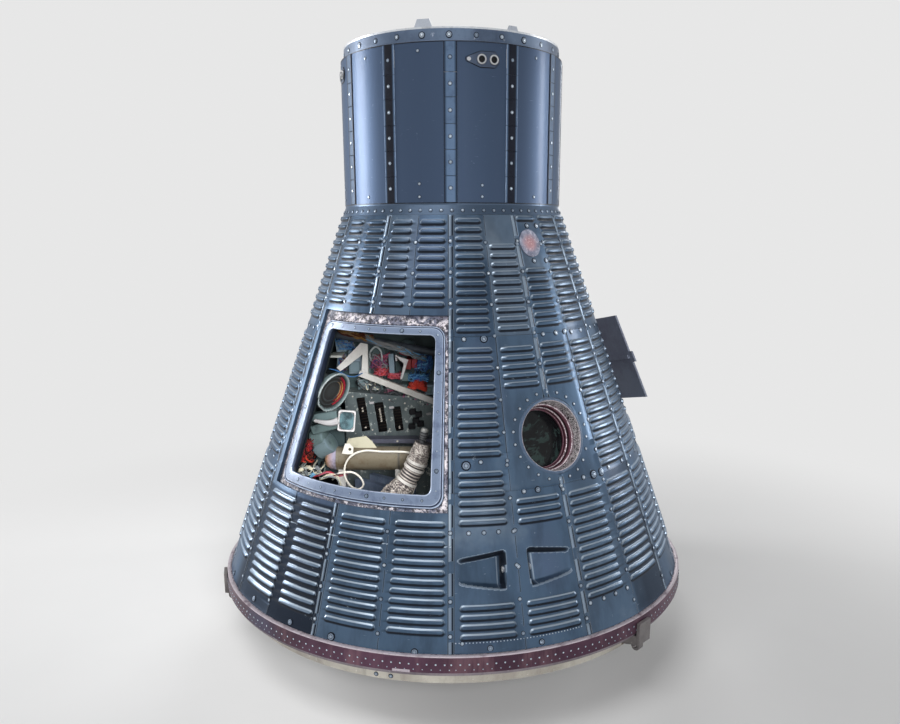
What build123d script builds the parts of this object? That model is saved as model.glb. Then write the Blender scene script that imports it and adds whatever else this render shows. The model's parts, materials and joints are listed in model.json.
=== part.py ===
from build123d import *
from math import atan2, cos, degrees, radians, sin, sqrt, tan
import os

# One-person re-entry capsule, millimetres, standing on its heat shield.
# Origin: lowest point of the shield, +Z up the axis of symmetry.
# Azimuth is counted about Z from -Y (0 deg) towards +X (90 deg).

# ---------------------------------------------------------------- shared sizes
SEAT_GAP = 0.3            # clearance between pieces that rest on each other
PANEL_GAP = 0.5           # butt gap between neighbouring panels of one row

# heat shield
SHIELD_SPHERE_R = 2032.0
SHIELD_RIM_R = 886.0
SHIELD_THICKNESS = 45.0
SHIELD_EDGE = 44.67       # upright edge between the spherical face and the flat land
SHIELD_RIM_Z = SHIELD_SPHERE_R - sqrt(SHIELD_SPHERE_R ** 2 - SHIELD_RIM_R ** 2)
SHIELD_LAND_Z = SHIELD_RIM_Z + SHIELD_EDGE
BAND_THICKNESS = 4.0
BAND_HEIGHT = 27.0
BAND_DROP = 42.0          # lower edge of the band below the land
BAND_Z0 = SHIELD_LAND_Z - BAND_DROP
BAND_Z1 = BAND_Z0 + BAND_HEIGHT

# aft ring, on a frame that stands on the land
RING_LIFT = 28.0          # ring's underside above the land
RING_HEIGHT = 55.0
RING_CLEARANCE = 9.0      # ring's bore outside the shield's rim
RING_SECTION = 51.0
RING_TAPER = 4.0
RING_Z0 = SHIELD_LAND_Z + RING_LIFT
RING_Z1 = RING_Z0 + RING_HEIGHT
RING_INNER_R = SHIELD_RIM_R + RING_CLEARANCE
RING_R0 = RING_INNER_R + RING_SECTION
RING_R1 = RING_R0 - RING_TAPER
LIP_HEIGHT = 14.0
LIP_INSET = 8.0
LIP_R = RING_R0 - LIP_INSET
AFT_FRAME_WIDTH = 33.0
AFT_FRAME_INNER_R = RING_INNER_R - AFT_FRAME_WIDTH

# conical cabin wall, its foot on the ring
CONE_ANGLE = 20.0
CONE_HEIGHT = 1404.0
WALL_THICKNESS = 50.0
WALL_FOOT_INSET = 15.0    # foot of the wall inside the ring's top edge
TAN = tan(radians(CONE_ANGLE))
COS = cos(radians(CONE_ANGLE))
SIN = sin(radians(CONE_ANGLE))
CONE_TOP_Z = RING_Z1 + CONE_HEIGHT
NECK_R = RING_R1 - WALL_FOOT_INSET - CONE_HEIGHT * TAN
LOWER_ROW_HEIGHT = 479.0
MIDDLE_ROW_HEIGHT = 491.0
NECK_RING_DROP = 33.0     # upper row ends this far below the cone's top
ROW_Z1 = RING_Z1 + LOWER_ROW_HEIGHT
ROW_Z2 = ROW_Z1 + MIDDLE_ROW_HEIGHT
ROW_Z3 = CONE_TOP_Z - NECK_RING_DROP
COLUMNS = 12
COLUMN_ANGLE = 360.0 / COLUMNS
NECK_RING_LAND = 7.0
NECK_RING_Z1 = CONE_TOP_Z + NECK_RING_LAND

# pressed beads that stiffen each panel
BEAD_PITCH = 29.6
BEAD_WIDTH = 22.0
BEAD_CREST = 9.0          # flat along a bead's crest
BEAD_PROUD = 5.0
BEAD_ROOT = 1.0           # a run's valleys lie this far inside the skin
BEAD_BACK = 6.0
HALF_COLUMN = COLUMN_ANGLE / 2
BEADS_FRONT = [  # row, first azimuth, last azimuth, top bead below the row's upper edge, count
    ("wall_upper", 1.9, 13.5, 21.0, 13),
    ("wall_upper", 16.3, 28.3, 107.0, 10),
    ("wall_upper", 31.4, 42.5, 12.0, 1),
    ("wall_upper", 31.4, 42.5, 190.0, 7),
    ("wall_upper", 45.5, 58.4, 12.0, 13),
    ("wall_middle", 1.9, 13.5, 44.5, 12),
    ("wall_middle", 1.9, 13.5, 434.5, 2),
    ("wall_middle", 16.3, 28.3, 44.5, 5),
    ("wall_middle", 31.4, 42.5, 40.0, 5),
    ("wall_middle", 45.5, 58.4, 45.0, 15),
    ("wall_lower", 1.9, 13.5, 32.0, 3),
    ("wall_lower", 1.9, 13.5, 345.0, 4),
    ("wall_lower", 16.3, 28.3, 35.0, 3),
    ("wall_lower", 16.3, 28.3, 345.0, 4),
    ("wall_lower", 31.4, 42.5, 37.5, 12),
    ("wall_lower", 45.5, 58.4, 37.5, 12),
]
BEADS_ROUND_HATCH = [
    ("wall_upper", -56.5, -45.5, 25.0, 10),
    ("wall_upper", -42.0, -31.6, 25.0, 10),
    ("wall_upper", -27.5, -17.5, 25.0, 10),
    ("wall_upper", -14.0, -2.5, 25.0, 10),
    ("wall_lower", -57.0, -44.5, 95.0, 12),
    ("wall_lower", -42.0, -31.4, 95.0, 12),
    ("wall_lower", -28.0, -16.0, 95.0, 12),
    ("wall_lower", -13.5, -1.9, 95.0, 12),
]
BEADS_PLAIN = [  # row, top bead below the row's upper edge, count
    ("wall_upper", 12.0, 13),
    ("wall_middle", 45.0, 15),
    ("wall_lower", 37.5, 12),
]
BEADS_BY_DOOR = [
    ("wall_middle", 76.2, 79.4, 45.0, 11),
    ("wall_middle", 76.2, 88.4, 401.0, 3),
    ("wall_middle", 100.2, 103.0, 45.0, 11),
    ("wall_middle", 91.6, 103.0, 401.0, 3),
]
PLAIN_COLUMNS = [a * HALF_COLUMN for a in (4, 5, 6, 7, 8, 9, 10, 11, 16, 17, 18, 19)]
DOOR_COLUMNS = (5 * HALF_COLUMN, 6 * HALF_COLUMN)

# hatch
HATCH_RECESS_A0 = -57.0
HATCH_RECESS_A1 = -0.8
HATCH_RECESS_HEIGHT = 620.0
HATCH_RECESS_DEPTH = 12.0
HATCH_LIFT = 419.0        # lower edge of the recess above the ring
HATCH_RECESS_Z0 = RING_Z1 + HATCH_LIFT
HATCH_RECESS_Z1 = HATCH_RECESS_Z0 + HATCH_RECESS_HEIGHT
FRAME_A0 = -53.8
FRAME_A1 = -1.9
FRAME_SILL = 12.0         # frame's lower edge above the recess's
FRAME_HEIGHT = 575.0
FRAME_Z0 = HATCH_RECESS_Z0 + FRAME_SILL
FRAME_Z1 = FRAME_Z0 + FRAME_HEIGHT
FRAME_SINK = 8.0          # frame face below the wall's outer face
FRAME_CORNER_R = 42.0
CLEAR_A0 = -48.6
CLEAR_A1 = -5.3
CLEAR_BOTTOM_WIDTH = 43.0
CLEAR_TOP_WIDTH = 29.0
CLEAR_Z0 = FRAME_Z0 + CLEAR_BOTTOM_WIDTH
CLEAR_Z1 = FRAME_Z1 - CLEAR_TOP_WIDTH
CLEAR_CORNER_R = 22.0

# portholes
PORT_AZIMUTHS = (30.0, 210.0)
PORT_LIFT = 157.0         # middle above the lower row of panels
PORT_Z = ROW_Z1 + PORT_LIFT
PORT_TUBE_R = 132.0
PORT_MOUTH_R = 120.0
PORT_STEP_R = 112.0
PORT_SILL_R = 101.0
PORT_STEP_DEPTH = 50.0
PORT_SILL_DEPTH = 84.0
PORT_GLASS_R = 108.0
PORT_GLASS_DEPTH = 96.0
PORT_GLASS_THICKNESS = 12.0
PORT_TUBE_DEPTH = 116.0
PORT_PROUD = 1.5

# roll thruster scoops
SCOOP_PAIRS = (15.0, 195.0)
SCOOP_LIFT = 242.0
SCOOP_Z = RING_Z1 + SCOOP_LIFT
SCOOP_SPREAD = 8.3        # degrees from the middle of the pair to each scoop's middle
SCOOP_HALF_LENGTH = 80.0
SCOOP_DEEP_HEIGHT = 122.0
SCOOP_SHALLOW_HEIGHT = 76.0
SCOOP_DEPTH = 40.0
NOZZLE_R = 11.0
NOZZLE_WALL = 3.0
NOZZLE_LENGTH = 16.0
NOZZLE_CLEARANCE = 6.0    # nozzle above the scoop's floor

# oval cover plate
OVAL_AZIMUTH = 36.6
OVAL_DROP = 97.0
OVAL_Z = ROW_Z3 - OVAL_DROP
OVAL_RX = 45.0
OVAL_RY = 50.0
PLATE_PROUD = 2.5

# periscope door
DOOR_A0 = 82.5
DOOR_A1 = 97.5
DOOR_HEIGHT = 356.0
DOOR_HEAD = 6.0           # doorway's upper edge below the middle row's
DOOR_Z1 = ROW_Z2 - DOOR_HEAD
DOOR_Z0 = DOOR_Z1 - DOOR_HEIGHT
DOOR_THICKNESS = 8.0
DOOR_SIDE_GAP = 7.0
DOOR_END_GAP = 9.0
DOOR_OPEN = 36.0          # opening angle at rest
HINGE_PROUD = 8.0         # pin centre above the wall's outer face
HINGE_BARREL_R = 6.0
HINGE_PIN_R = 3.0
HINGE_BORE_CLEARANCE = 0.3
HINGE_KNUCKLE = 24.0
HINGE_KNUCKLE_GAP = 1.0
HINGE_OFFSETS = (-120.0, 120.0)   # along the slant from the door's middle
LEAF_THICKNESS = 5.0
LEAF_LENGTH = 26.0
LEAF_CLEARANCE = 2.5      # root of the leaf inside the doorway's edge
LATCH_REACH = 16.0
LATCH_HEIGHT = 46.0
LATCH_GAP = 7.0
RIB_HEIGHT = 10.0
RIB_WIDTH = 16.0
WELL_DEPTH = 165.0
WELL_WALL = 4.0
WELL_MARGIN = 14.0
SCOPE_R = 48.0
SCOPE_DROP = 60.0
SCOPE_HEAD_DEPTH = 34.0

# neck (recovery section)
NECK_HEIGHT = 513.0
NECK_PANEL_Z1 = NECK_RING_Z1 + NECK_HEIGHT
NECK_WALL = 20.0
STRIP_WIDTH = 45.0
STRIP_PROUD = 2.5
TOP_RING_INSET = 12.0
TOP_RING_WIDTH = 52.0
TOP_RING_HEIGHT = 47.0
TOP_RING_R = NECK_R - TOP_RING_INSET
TOP_RING_INNER_R = TOP_RING_R - TOP_RING_WIDTH
TOP_Z = NECK_PANEL_Z1 + TOP_RING_HEIGHT
TOP_BOLTS = 28
TOP_BOLT_HOLE_R = 4.0
TOP_BOLT_PCD_R = TOP_RING_R - TOP_RING_WIDTH / 2
TOP_BOLT_DEPTH = 30.0
DECK_LIFT = 218.0
DECK_Z = NECK_RING_Z1 + DECK_LIFT
DECK_THICKNESS = 12.0
DIVIDER_THICKNESS = 12.0
THRUSTER_AZIMUTH = 15.1
THRUSTER_DROP = 54.0
THRUSTER_Z = NECK_PANEL_Z1 - THRUSTER_DROP
THRUSTER_HALF_LENGTH = 57.0
THRUSTER_HALF_HEIGHT = 24.0
THRUSTER_HOLE_R = 11.0

# strap fittings
FITTING_AZIMUTHS = (45.0, 165.0, 285.0)
FITTING_WIDTH = 70.0
FITTING_THICKNESS = 12.0
FITTING_DROP = 34.0       # foot of the fitting below the shield's land
FITTING_HEIGHT = 98.0
FITTING_Z0 = SHIELD_LAND_Z - FITTING_DROP
FITTING_Z1 = FITTING_Z0 + FITTING_HEIGHT
LUG_WIDTH = 26.0
LUG_R = 16.0
LUG_HOLE_R = 8.0
LUG_DROP = 4.0

# cabin
FLOOR_LIFT = 159.0
FLOOR_Z = RING_Z1 + FLOOR_LIFT
FLOOR_THICKNESS = 20.0
BULKHEAD_DROP = 42.0
BULKHEAD_THICKNESS = 14.0
FORWARD_Z = ROW_Z3 - BULKHEAD_DROP


def cone_r(z, inset=0.0):
    """Radius of the cabin's cone at height z, moved inwards by inset along its normal."""
    return NECK_R + (CONE_TOP_Z - z) * TAN - inset / COS


def shield_z(r, inset=0.0):
    """Height of the shield's spherical face at radius r."""
    return SHIELD_SPHERE_R - sqrt((SHIELD_SPHERE_R - inset) ** 2 - r * r)


def around(a):
    """Outward and tangent directions at azimuth a."""
    t = radians(a)
    return Vector(sin(t), -cos(t), 0), Vector(cos(t), sin(t), 0)


def meridian(a):
    """Plane through the Z axis at azimuth a: local x is radius, local y is height."""
    rad, tng = around(a)
    return Plane(origin=(0, 0, 0), x_dir=rad, z_dir=tng * -1)


def skin_plane(a, z, out=0.0):
    """Plane on the cone: x along the tangent, y up the slant, z outwards."""
    rad, tng = around(a)
    n = rad * COS + Vector(0, 0, SIN)
    return Plane(origin=rad * cone_r(z) + Vector(0, 0, z) + n * out, x_dir=tng, z_dir=n)


def radial_plane(a, z, r):
    """Upright plane facing outwards at azimuth a: x along the tangent, y up."""
    rad, tng = around(a)
    return Plane(origin=rad * r + Vector(0, 0, z), x_dir=tng, z_dir=rad)


def slab(z0, z1, out, inset):
    """Cross-section of a conical slab between two heights, from out to inset below the skin."""
    return [
        (cone_r(z0, -out), z0),
        (cone_r(z1, -out), z1),
        (cone_r(z1, inset), z1),
        (cone_r(z0, inset), z0),
    ]


def arc_angle(length, r):
    return degrees(length / r)


def bead_section(z_top, count):
    """Cross-section of a run of beads: crests above the skin, valleys just inside it."""
    foot, crest = BEAD_WIDTH / 2 * COS, BEAD_CREST / 2 * COS
    points = []
    for k in range(count):
        z = z_top - k * BEAD_PITCH
        points += [
            (cone_r(z + foot, BEAD_ROOT), z + foot),
            (cone_r(z + crest, -BEAD_PROUD), z + crest),
            (cone_r(z - crest, -BEAD_PROUD), z - crest),
            (cone_r(z - foot, BEAD_ROOT), z - foot),
        ]
    z_end = z_top - (count - 1) * BEAD_PITCH - foot
    return points + [
        (cone_r(z_end, BEAD_BACK), z_end),
        (cone_r(z_top + foot, BEAD_BACK), z_top + foot),
    ]


# ---------------------------------------------------------------- cutting forms
# Solids that shape the wall and are not pieces themselves.
with BuildPart() as hatch_recess_form:
    with BuildSketch(meridian(HATCH_RECESS_A0)):
        with BuildLine():
            Polyline(*slab(HATCH_RECESS_Z0, HATCH_RECESS_Z1, 30, HATCH_RECESS_DEPTH), close=True)
        make_face()
    revolve(axis=Axis.Z, revolution_arc=HATCH_RECESS_A1 - HATCH_RECESS_A0)

with BuildPart() as frame_seat_form:
    with BuildSketch(meridian(FRAME_A0)):
        with BuildLine():
            Polyline(*slab(FRAME_Z0, FRAME_Z1, 30, WALL_THICKNESS + 30), close=True)
        make_face()
    revolve(axis=Axis.Z, revolution_arc=FRAME_A1 - FRAME_A0)
    corners = [e for e in frame_seat_form.edges().filter_by(GeomType.LINE)
               if abs(e.tangent_at(0).Z) < 0.01]
    fillet(corners, FRAME_CORNER_R)

with BuildPart() as clear_form:
    with BuildSketch(meridian(CLEAR_A0)):
        with BuildLine():
            Polyline(*slab(CLEAR_Z0, CLEAR_Z1, 30, WALL_THICKNESS + 30), close=True)
        make_face()
    revolve(axis=Axis.Z, revolution_arc=CLEAR_A1 - CLEAR_A0)
    corners = [e for e in clear_form.edges().filter_by(GeomType.LINE)
               if abs(e.tangent_at(0).Z) < 0.01]
    fillet(corners, CLEAR_CORNER_R)

with BuildPart() as port_form:
    for a in PORT_AZIMUTHS:
        with BuildSketch(skin_plane(a, PORT_Z, -PORT_TUBE_DEPTH)):
            Circle(PORT_TUBE_R + SEAT_GAP)
        extrude(amount=PORT_TUBE_DEPTH + 60)

# each scoop: a trapezoid prism, deep at the end nearer its twin, over a sloping floor
with BuildPart() as scoop_form:
    for a in SCOOP_PAIRS:
        for side in (-1, 1):
            with BuildSketch(skin_plane(a + side * SCOOP_SPREAD, SCOOP_Z, -SCOOP_DEPTH - 5)):
                with BuildLine():
                    Polyline(
                        (-side * SCOOP_HALF_LENGTH, -SCOOP_DEEP_HEIGHT / 2),
                        (-side * SCOOP_HALF_LENGTH, SCOOP_DEEP_HEIGHT / 2),
                        (side * SCOOP_HALF_LENGTH, SCOOP_SHALLOW_HEIGHT / 2),
                        (side * SCOOP_HALF_LENGTH, -SCOOP_SHALLOW_HEIGHT / 2),
                        close=True,
                    )
                make_face()
            extrude(amount=SCOOP_DEPTH + 45)

with BuildPart() as scoop_floor_form:
    for a in SCOOP_PAIRS:
        for side in (-1, 1):
            base = skin_plane(a + side * SCOOP_SPREAD, SCOOP_Z)
            section = Plane(origin=base.origin, x_dir=base.x_dir, z_dir=base.y_dir * -1)
            reach = SCOOP_HALF_LENGTH + 20
            with BuildSketch(section.offset(-SCOOP_DEEP_HEIGHT)):
                with BuildLine():
                    Polyline(
                        (side * SCOOP_HALF_LENGTH, -2),
                        (side * reach, -2),
                        (side * reach, -SCOOP_DEPTH - 30),
                        (-side * reach, -SCOOP_DEPTH - 30),
                        (-side * reach, -SCOOP_DEPTH),
                        (-side * SCOOP_HALF_LENGTH, -SCOOP_DEPTH),
                        close=True,
                    )
                make_face()
            extrude(amount=2 * SCOOP_DEEP_HEIGHT)

with BuildPart() as scoop_pocket_form:
    add(scoop_form.part)
    add(scoop_floor_form.part, mode=Mode.SUBTRACT)

DOOR_MID_Z = (DOOR_Z0 + DOOR_Z1) / 2
DOOR_MID_R = cone_r(DOOR_MID_Z)
with BuildPart() as door_way_form:
    with BuildSketch(meridian(DOOR_A0)):
        with BuildLine():
            Polyline(*slab(DOOR_Z0, DOOR_Z1, 30, WALL_THICKNESS + 10), close=True)
        make_face()
    revolve(axis=Axis.Z, revolution_arc=DOOR_A1 - DOOR_A0)
    notch = arc_angle(LATCH_REACH + LATCH_GAP, DOOR_MID_R)
    half = (LATCH_HEIGHT / 2 + LATCH_GAP) * COS
    with BuildSketch(meridian(DOOR_A0 - notch)):
        with BuildLine():
            Polyline(*slab(DOOR_MID_Z - half, DOOR_MID_Z + half, 30,
                           DOOR_THICKNESS + LATCH_GAP), close=True)
        make_face()
    revolve(axis=Axis.Z, revolution_arc=notch + 1)

# skins a little proud of the cone and of the neck, to trim plates that lie on them
with BuildPart() as cone_inside_form:
    with BuildSketch(Plane.XZ):
        with BuildLine():
            Polyline((0, FLOOR_Z), (cone_r(FLOOR_Z, -PORT_PROUD), FLOOR_Z),
                     (cone_r(ROW_Z3, -PORT_PROUD), ROW_Z3), (0, ROW_Z3), close=True)
        make_face()
    revolve(axis=Axis.Z)

with BuildPart() as cabin_inside_form:
    with BuildSketch(Plane.XZ):
        with BuildLine():
            Polyline((0, FLOOR_Z), (cone_r(FLOOR_Z, WALL_THICKNESS + SEAT_GAP), FLOOR_Z),
                     (cone_r(ROW_Z3, WALL_THICKNESS + SEAT_GAP), ROW_Z3), (0, ROW_Z3), close=True)
        make_face()
    revolve(axis=Axis.Z)

with BuildPart() as cone_skin_form:
    with BuildSketch(Plane.XZ):
        with BuildLine():
            Polyline(*[(r, z) for r, z in slab(RING_Z1, ROW_Z3, PLATE_PROUD, -SEAT_GAP)], close=True)
        make_face()
    revolve(axis=Axis.Z)

with BuildPart() as neck_skin_form:
    with BuildSketch(Plane.XY.offset(NECK_RING_Z1)):
        Circle(NECK_R + SEAT_GAP + PLATE_PROUD)
        Circle(NECK_R + SEAT_GAP, mode=Mode.SUBTRACT)
    extrude(amount=NECK_PANEL_Z1 - NECK_RING_Z1)

# ---------------------------------------------------------------- heat shield
with BuildPart() as heat_shield:
    inner_r = sqrt((SHIELD_SPHERE_R - SHIELD_THICKNESS) ** 2
                   - (SHIELD_SPHERE_R - SHIELD_LAND_Z) ** 2)
    with BuildSketch(Plane.XZ):
        with BuildLine():
            ThreePointArc((0, 0), (SHIELD_RIM_R / 2, shield_z(SHIELD_RIM_R / 2)),
                          (SHIELD_RIM_R, SHIELD_RIM_Z))
            Line((SHIELD_RIM_R, SHIELD_RIM_Z), (SHIELD_RIM_R, SHIELD_LAND_Z))
            Line((SHIELD_RIM_R, SHIELD_LAND_Z), (inner_r, SHIELD_LAND_Z))
            ThreePointArc((inner_r, SHIELD_LAND_Z),
                          (inner_r / 2, shield_z(inner_r / 2, SHIELD_THICKNESS)),
                          (0, SHIELD_THICKNESS))
            Line((0, SHIELD_THICKNESS), (0, 0))
        make_face()
    revolve(axis=Axis.Z)

BAND_ARCS = [  # start azimuth, sweep: the third stretch of the band is missing
    (FITTING_AZIMUTHS[2] - 360, FITTING_AZIMUTHS[0] - FITTING_AZIMUTHS[2] + 360),
    (FITTING_AZIMUTHS[1], FITTING_AZIMUTHS[2] - FITTING_AZIMUTHS[1]),
]
with BuildPart() as edge_band:
    end_gap = arc_angle(FITTING_WIDTH / 2 + 2, SHIELD_RIM_R)
    for start, sweep_angle in BAND_ARCS:
        with BuildSketch(meridian(start + end_gap)):
            with BuildLine():
                Polyline(
                    (SHIELD_RIM_R + SEAT_GAP, BAND_Z0),
                    (SHIELD_RIM_R + BAND_THICKNESS, BAND_Z0),
                    (SHIELD_RIM_R + BAND_THICKNESS, BAND_Z1),
                    (SHIELD_RIM_R + SEAT_GAP, BAND_Z1),
                    close=True,
                )
            make_face()
        revolve(axis=Axis.Z, revolution_arc=sweep_angle - 2 * end_gap)

with BuildPart() as aft_frame:
    with BuildSketch(Plane.XY.offset(SHIELD_LAND_Z + SEAT_GAP)):
        Circle(RING_INNER_R - SEAT_GAP)
        Circle(AFT_FRAME_INNER_R, mode=Mode.SUBTRACT)
    extrude(amount=RING_Z1 - SHIELD_LAND_Z - SEAT_GAP)

with BuildPart() as aft_ring:
    with BuildSketch(Plane.XZ):
        with BuildLine():
            Polyline((RING_INNER_R, RING_Z0), (RING_R0, RING_Z0), (RING_R1, RING_Z1),
                     (RING_INNER_R, RING_Z1), close=True)
        make_face()
    revolve(axis=Axis.Z)

with BuildPart() as ring_lip:
    with BuildSketch(Plane.XY.offset(RING_Z0 - LIP_HEIGHT)):
        Circle(LIP_R)
        Circle(RING_INNER_R, mode=Mode.SUBTRACT)
    extrude(amount=LIP_HEIGHT - SEAT_GAP)

with BuildPart() as strap_fittings:
    plate_r = RING_R0 + SEAT_GAP
    foot_z1 = RING_Z0 - LIP_HEIGHT - SEAT_GAP
    for a in FITTING_AZIMUTHS:
        rad, tng = around(a)
        side = Plane(origin=tng * (-FITTING_WIDTH / 2), x_dir=rad, z_dir=tng * -1)
        with BuildSketch(side):
            with BuildLine():
                Polyline(
                    (SHIELD_RIM_R + SEAT_GAP, FITTING_Z0),
                    (plate_r + FITTING_THICKNESS, FITTING_Z0 + 18),
                    (plate_r + FITTING_THICKNESS, FITTING_Z1),
                    (plate_r, FITTING_Z1),
                    (plate_r, foot_z1),
                    (RING_INNER_R + 2, foot_z1),
                    (RING_INNER_R + 2, SHIELD_LAND_Z - 4),
                    (SHIELD_RIM_R + SEAT_GAP, SHIELD_LAND_Z - 4),
                    close=True,
                )
            make_face()
        extrude(amount=-FITTING_WIDTH)
        lug_plane = Plane(origin=tng * (-LUG_WIDTH / 2), x_dir=rad, z_dir=tng * -1)
        lug_at = (RING_R0 - LUG_R, FITTING_Z0 - LUG_DROP)
        with BuildSketch(lug_plane):
            with Locations(lug_at):
                Circle(LUG_R)
            with Locations((lug_at[0], lug_at[1] + LUG_R)):
                Rectangle(2 * LUG_R, 2 * LUG_R)
        extrude(amount=-LUG_WIDTH)
        with BuildSketch(side):
            with Locations(lug_at):
                Circle(LUG_HOLE_R)
        extrude(amount=-FITTING_WIDTH, mode=Mode.SUBTRACT)

# ---------------------------------------------------------------- cabin wall
ROWS = [  # name, lower height, upper height
    ("wall_lower", RING_Z1 + SEAT_GAP, ROW_Z1),
    ("wall_middle", ROW_Z1 + SEAT_GAP, ROW_Z2),
    ("wall_upper", ROW_Z2 + SEAT_GAP, ROW_Z3),
]
bead_runs = list(BEADS_ROUND_HATCH) + list(BEADS_BY_DOOR)
for turn in (0.0, 180.0):
    bead_runs += [(name, a0 + turn, a1 + turn, drop, count) for name, a0, a1, drop, count in BEADS_FRONT]
for a in PLAIN_COLUMNS:
    at_seam = a % COLUMN_ANGLE == 0
    a0, a1 = (a + 1.6, a + 13.0) if at_seam else (a + 1.2, a + 13.4)
    bead_runs += [(name, a0, a1, drop, count) for name, drop, count in BEADS_PLAIN
                  if not (name == "wall_middle" and a in DOOR_COLUMNS)]

walls = {}
for row_name, z0, z1 in ROWS:
    panels = []
    for column in range(COLUMNS):
        gap = arc_angle(PANEL_GAP, cone_r(z1))
        combs = []
        for name, a0, a1, drop, count in bead_runs:
            if name == row_name and (a0 + a1) / 2 % 360 // COLUMN_ANGLE == column:
                with BuildPart() as comb:
                    with BuildSketch(meridian(a0)):
                        with BuildLine():
                            Polyline(*bead_section(z1 - drop, count), close=True)
                        make_face()
                    revolve(axis=Axis.Z, revolution_arc=a1 - a0)
                combs.append(comb.part)
        with BuildPart() as panel:
            with BuildSketch(meridian(column * COLUMN_ANGLE + gap / 2)):
                with BuildLine():
                    Polyline(*slab(z0, z1, 0, WALL_THICKNESS), close=True)
                make_face()
            revolve(axis=Axis.Z, revolution_arc=COLUMN_ANGLE - gap)
            if combs:
                add(combs)
        panels.append(panel.part)
    with BuildPart() as row:
        add(panels)
        add(hatch_recess_form.part, mode=Mode.SUBTRACT)
        add(frame_seat_form.part, mode=Mode.SUBTRACT)
        if row_name == "wall_middle":
            add(port_form.part, mode=Mode.SUBTRACT)
            add(door_way_form.part, mode=Mode.SUBTRACT)
        if row_name == "wall_lower":
            add(scoop_pocket_form.part, mode=Mode.SUBTRACT)
    walls[row_name] = row

with BuildPart() as neck_ring:
    with BuildSketch(Plane.XZ):
        with BuildLine():
            Polyline(
                (cone_r(ROW_Z3 + SEAT_GAP), ROW_Z3 + SEAT_GAP),
                (NECK_R, CONE_TOP_Z),
                (NECK_R, NECK_RING_Z1),
                (NECK_R - WALL_THICKNESS, NECK_RING_Z1),
                (cone_r(ROW_Z3 + SEAT_GAP, WALL_THICKNESS), ROW_Z3 + SEAT_GAP),
                close=True,
            )
        make_face()
    revolve(axis=Axis.Z)

with BuildPart() as hatch_frame:
    with BuildSketch(meridian(FRAME_A0)):
        with BuildLine():
            Polyline(*slab(FRAME_Z0 + SEAT_GAP, FRAME_Z1 - SEAT_GAP, -FRAME_SINK,
                           WALL_THICKNESS), close=True)
        make_face()
    revolve(axis=Axis.Z, revolution_arc=FRAME_A1 - FRAME_A0)
    corners = [e for e in hatch_frame.edges().filter_by(GeomType.LINE)
               if abs(e.tangent_at(0).Z) < 0.01]
    fillet(corners, FRAME_CORNER_R)
    add(clear_form.part, mode=Mode.SUBTRACT)

# ---------------------------------------------------------------- portholes
with BuildPart() as porthole_rings:
    for a in PORT_AZIMUTHS:
        back = skin_plane(a, PORT_Z, -PORT_TUBE_DEPTH)
        with BuildSketch(back):
            Circle(PORT_TUBE_R)
        extrude(amount=PORT_TUBE_DEPTH + 30)
    add(cone_inside_form.part, mode=Mode.INTERSECT)
    BORES = [  # radius, deep end below the skin, shallow end below the skin
        (PORT_MOUTH_R, PORT_STEP_DEPTH, -60),
        (PORT_STEP_R, PORT_SILL_DEPTH, -60),
        (PORT_SILL_R, PORT_TUBE_DEPTH + 10, -60),
        (PORT_GLASS_R + SEAT_GAP, PORT_TUBE_DEPTH + 10, PORT_GLASS_DEPTH),
    ]
    for a in PORT_AZIMUTHS:
        for bore_r, deep, shallow in BORES:
            with BuildSketch(skin_plane(a, PORT_Z, -deep)):
                Circle(bore_r)
            extrude(amount=deep - shallow, mode=Mode.SUBTRACT)

with BuildPart() as porthole_glass:
    for a in PORT_AZIMUTHS:
        with BuildSketch(skin_plane(a, PORT_Z, -PORT_GLASS_DEPTH - SEAT_GAP)):
            Circle(PORT_GLASS_R)
        extrude(amount=-PORT_GLASS_THICKNESS)

with BuildPart() as oval_cover:
    with BuildSketch(skin_plane(OVAL_AZIMUTH, OVAL_Z, -20)):
        Ellipse(OVAL_RX, OVAL_RY)
    extrude(amount=40)
    add(cone_skin_form.part, mode=Mode.INTERSECT)

with BuildPart() as roll_nozzles:
    for a in SCOOP_PAIRS:
        for side in (-1, 1):
            base = skin_plane(a + side * SCOOP_SPREAD, SCOOP_Z)
            at = (-side * (SCOOP_HALF_LENGTH - SEAT_GAP), 0, NOZZLE_R + NOZZLE_WALL + NOZZLE_CLEARANCE - SCOOP_DEPTH)
            mouth = Plane(origin=base.from_local_coords(at), x_dir=base.y_dir,
                          z_dir=base.x_dir * side)
            with BuildSketch(mouth):
                Circle(NOZZLE_R + NOZZLE_WALL)
                Circle(NOZZLE_R, mode=Mode.SUBTRACT)
            extrude(amount=NOZZLE_LENGTH)

# ---------------------------------------------------------------- periscope door
with BuildPart() as periscope_well:
    reach = arc_angle(WELL_MARGIN, DOOR_MID_R)
    with BuildSketch(meridian(DOOR_A0 - reach)):
        with BuildLine():
            Polyline(*slab(DOOR_Z0 - WELL_MARGIN, DOOR_Z1 + WELL_MARGIN,
                           -WALL_THICKNESS - SEAT_GAP, WELL_DEPTH), close=True)
        make_face()
    revolve(axis=Axis.Z, revolution_arc=DOOR_A1 - DOOR_A0 + 2 * reach)
    hollow = arc_angle(WELL_MARGIN - WELL_WALL, DOOR_MID_R)
    with BuildSketch(meridian(DOOR_A0 - hollow)):
        with BuildLine():
            Polyline(*slab(DOOR_Z0 - WELL_MARGIN + WELL_WALL, DOOR_Z1 + WELL_MARGIN - WELL_WALL,
                           -WALL_THICKNESS + 20, WELL_DEPTH - WELL_WALL), close=True)
        make_face()
    revolve(axis=Axis.Z, revolution_arc=DOOR_A1 - DOOR_A0 + 2 * hollow, mode=Mode.SUBTRACT)

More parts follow.
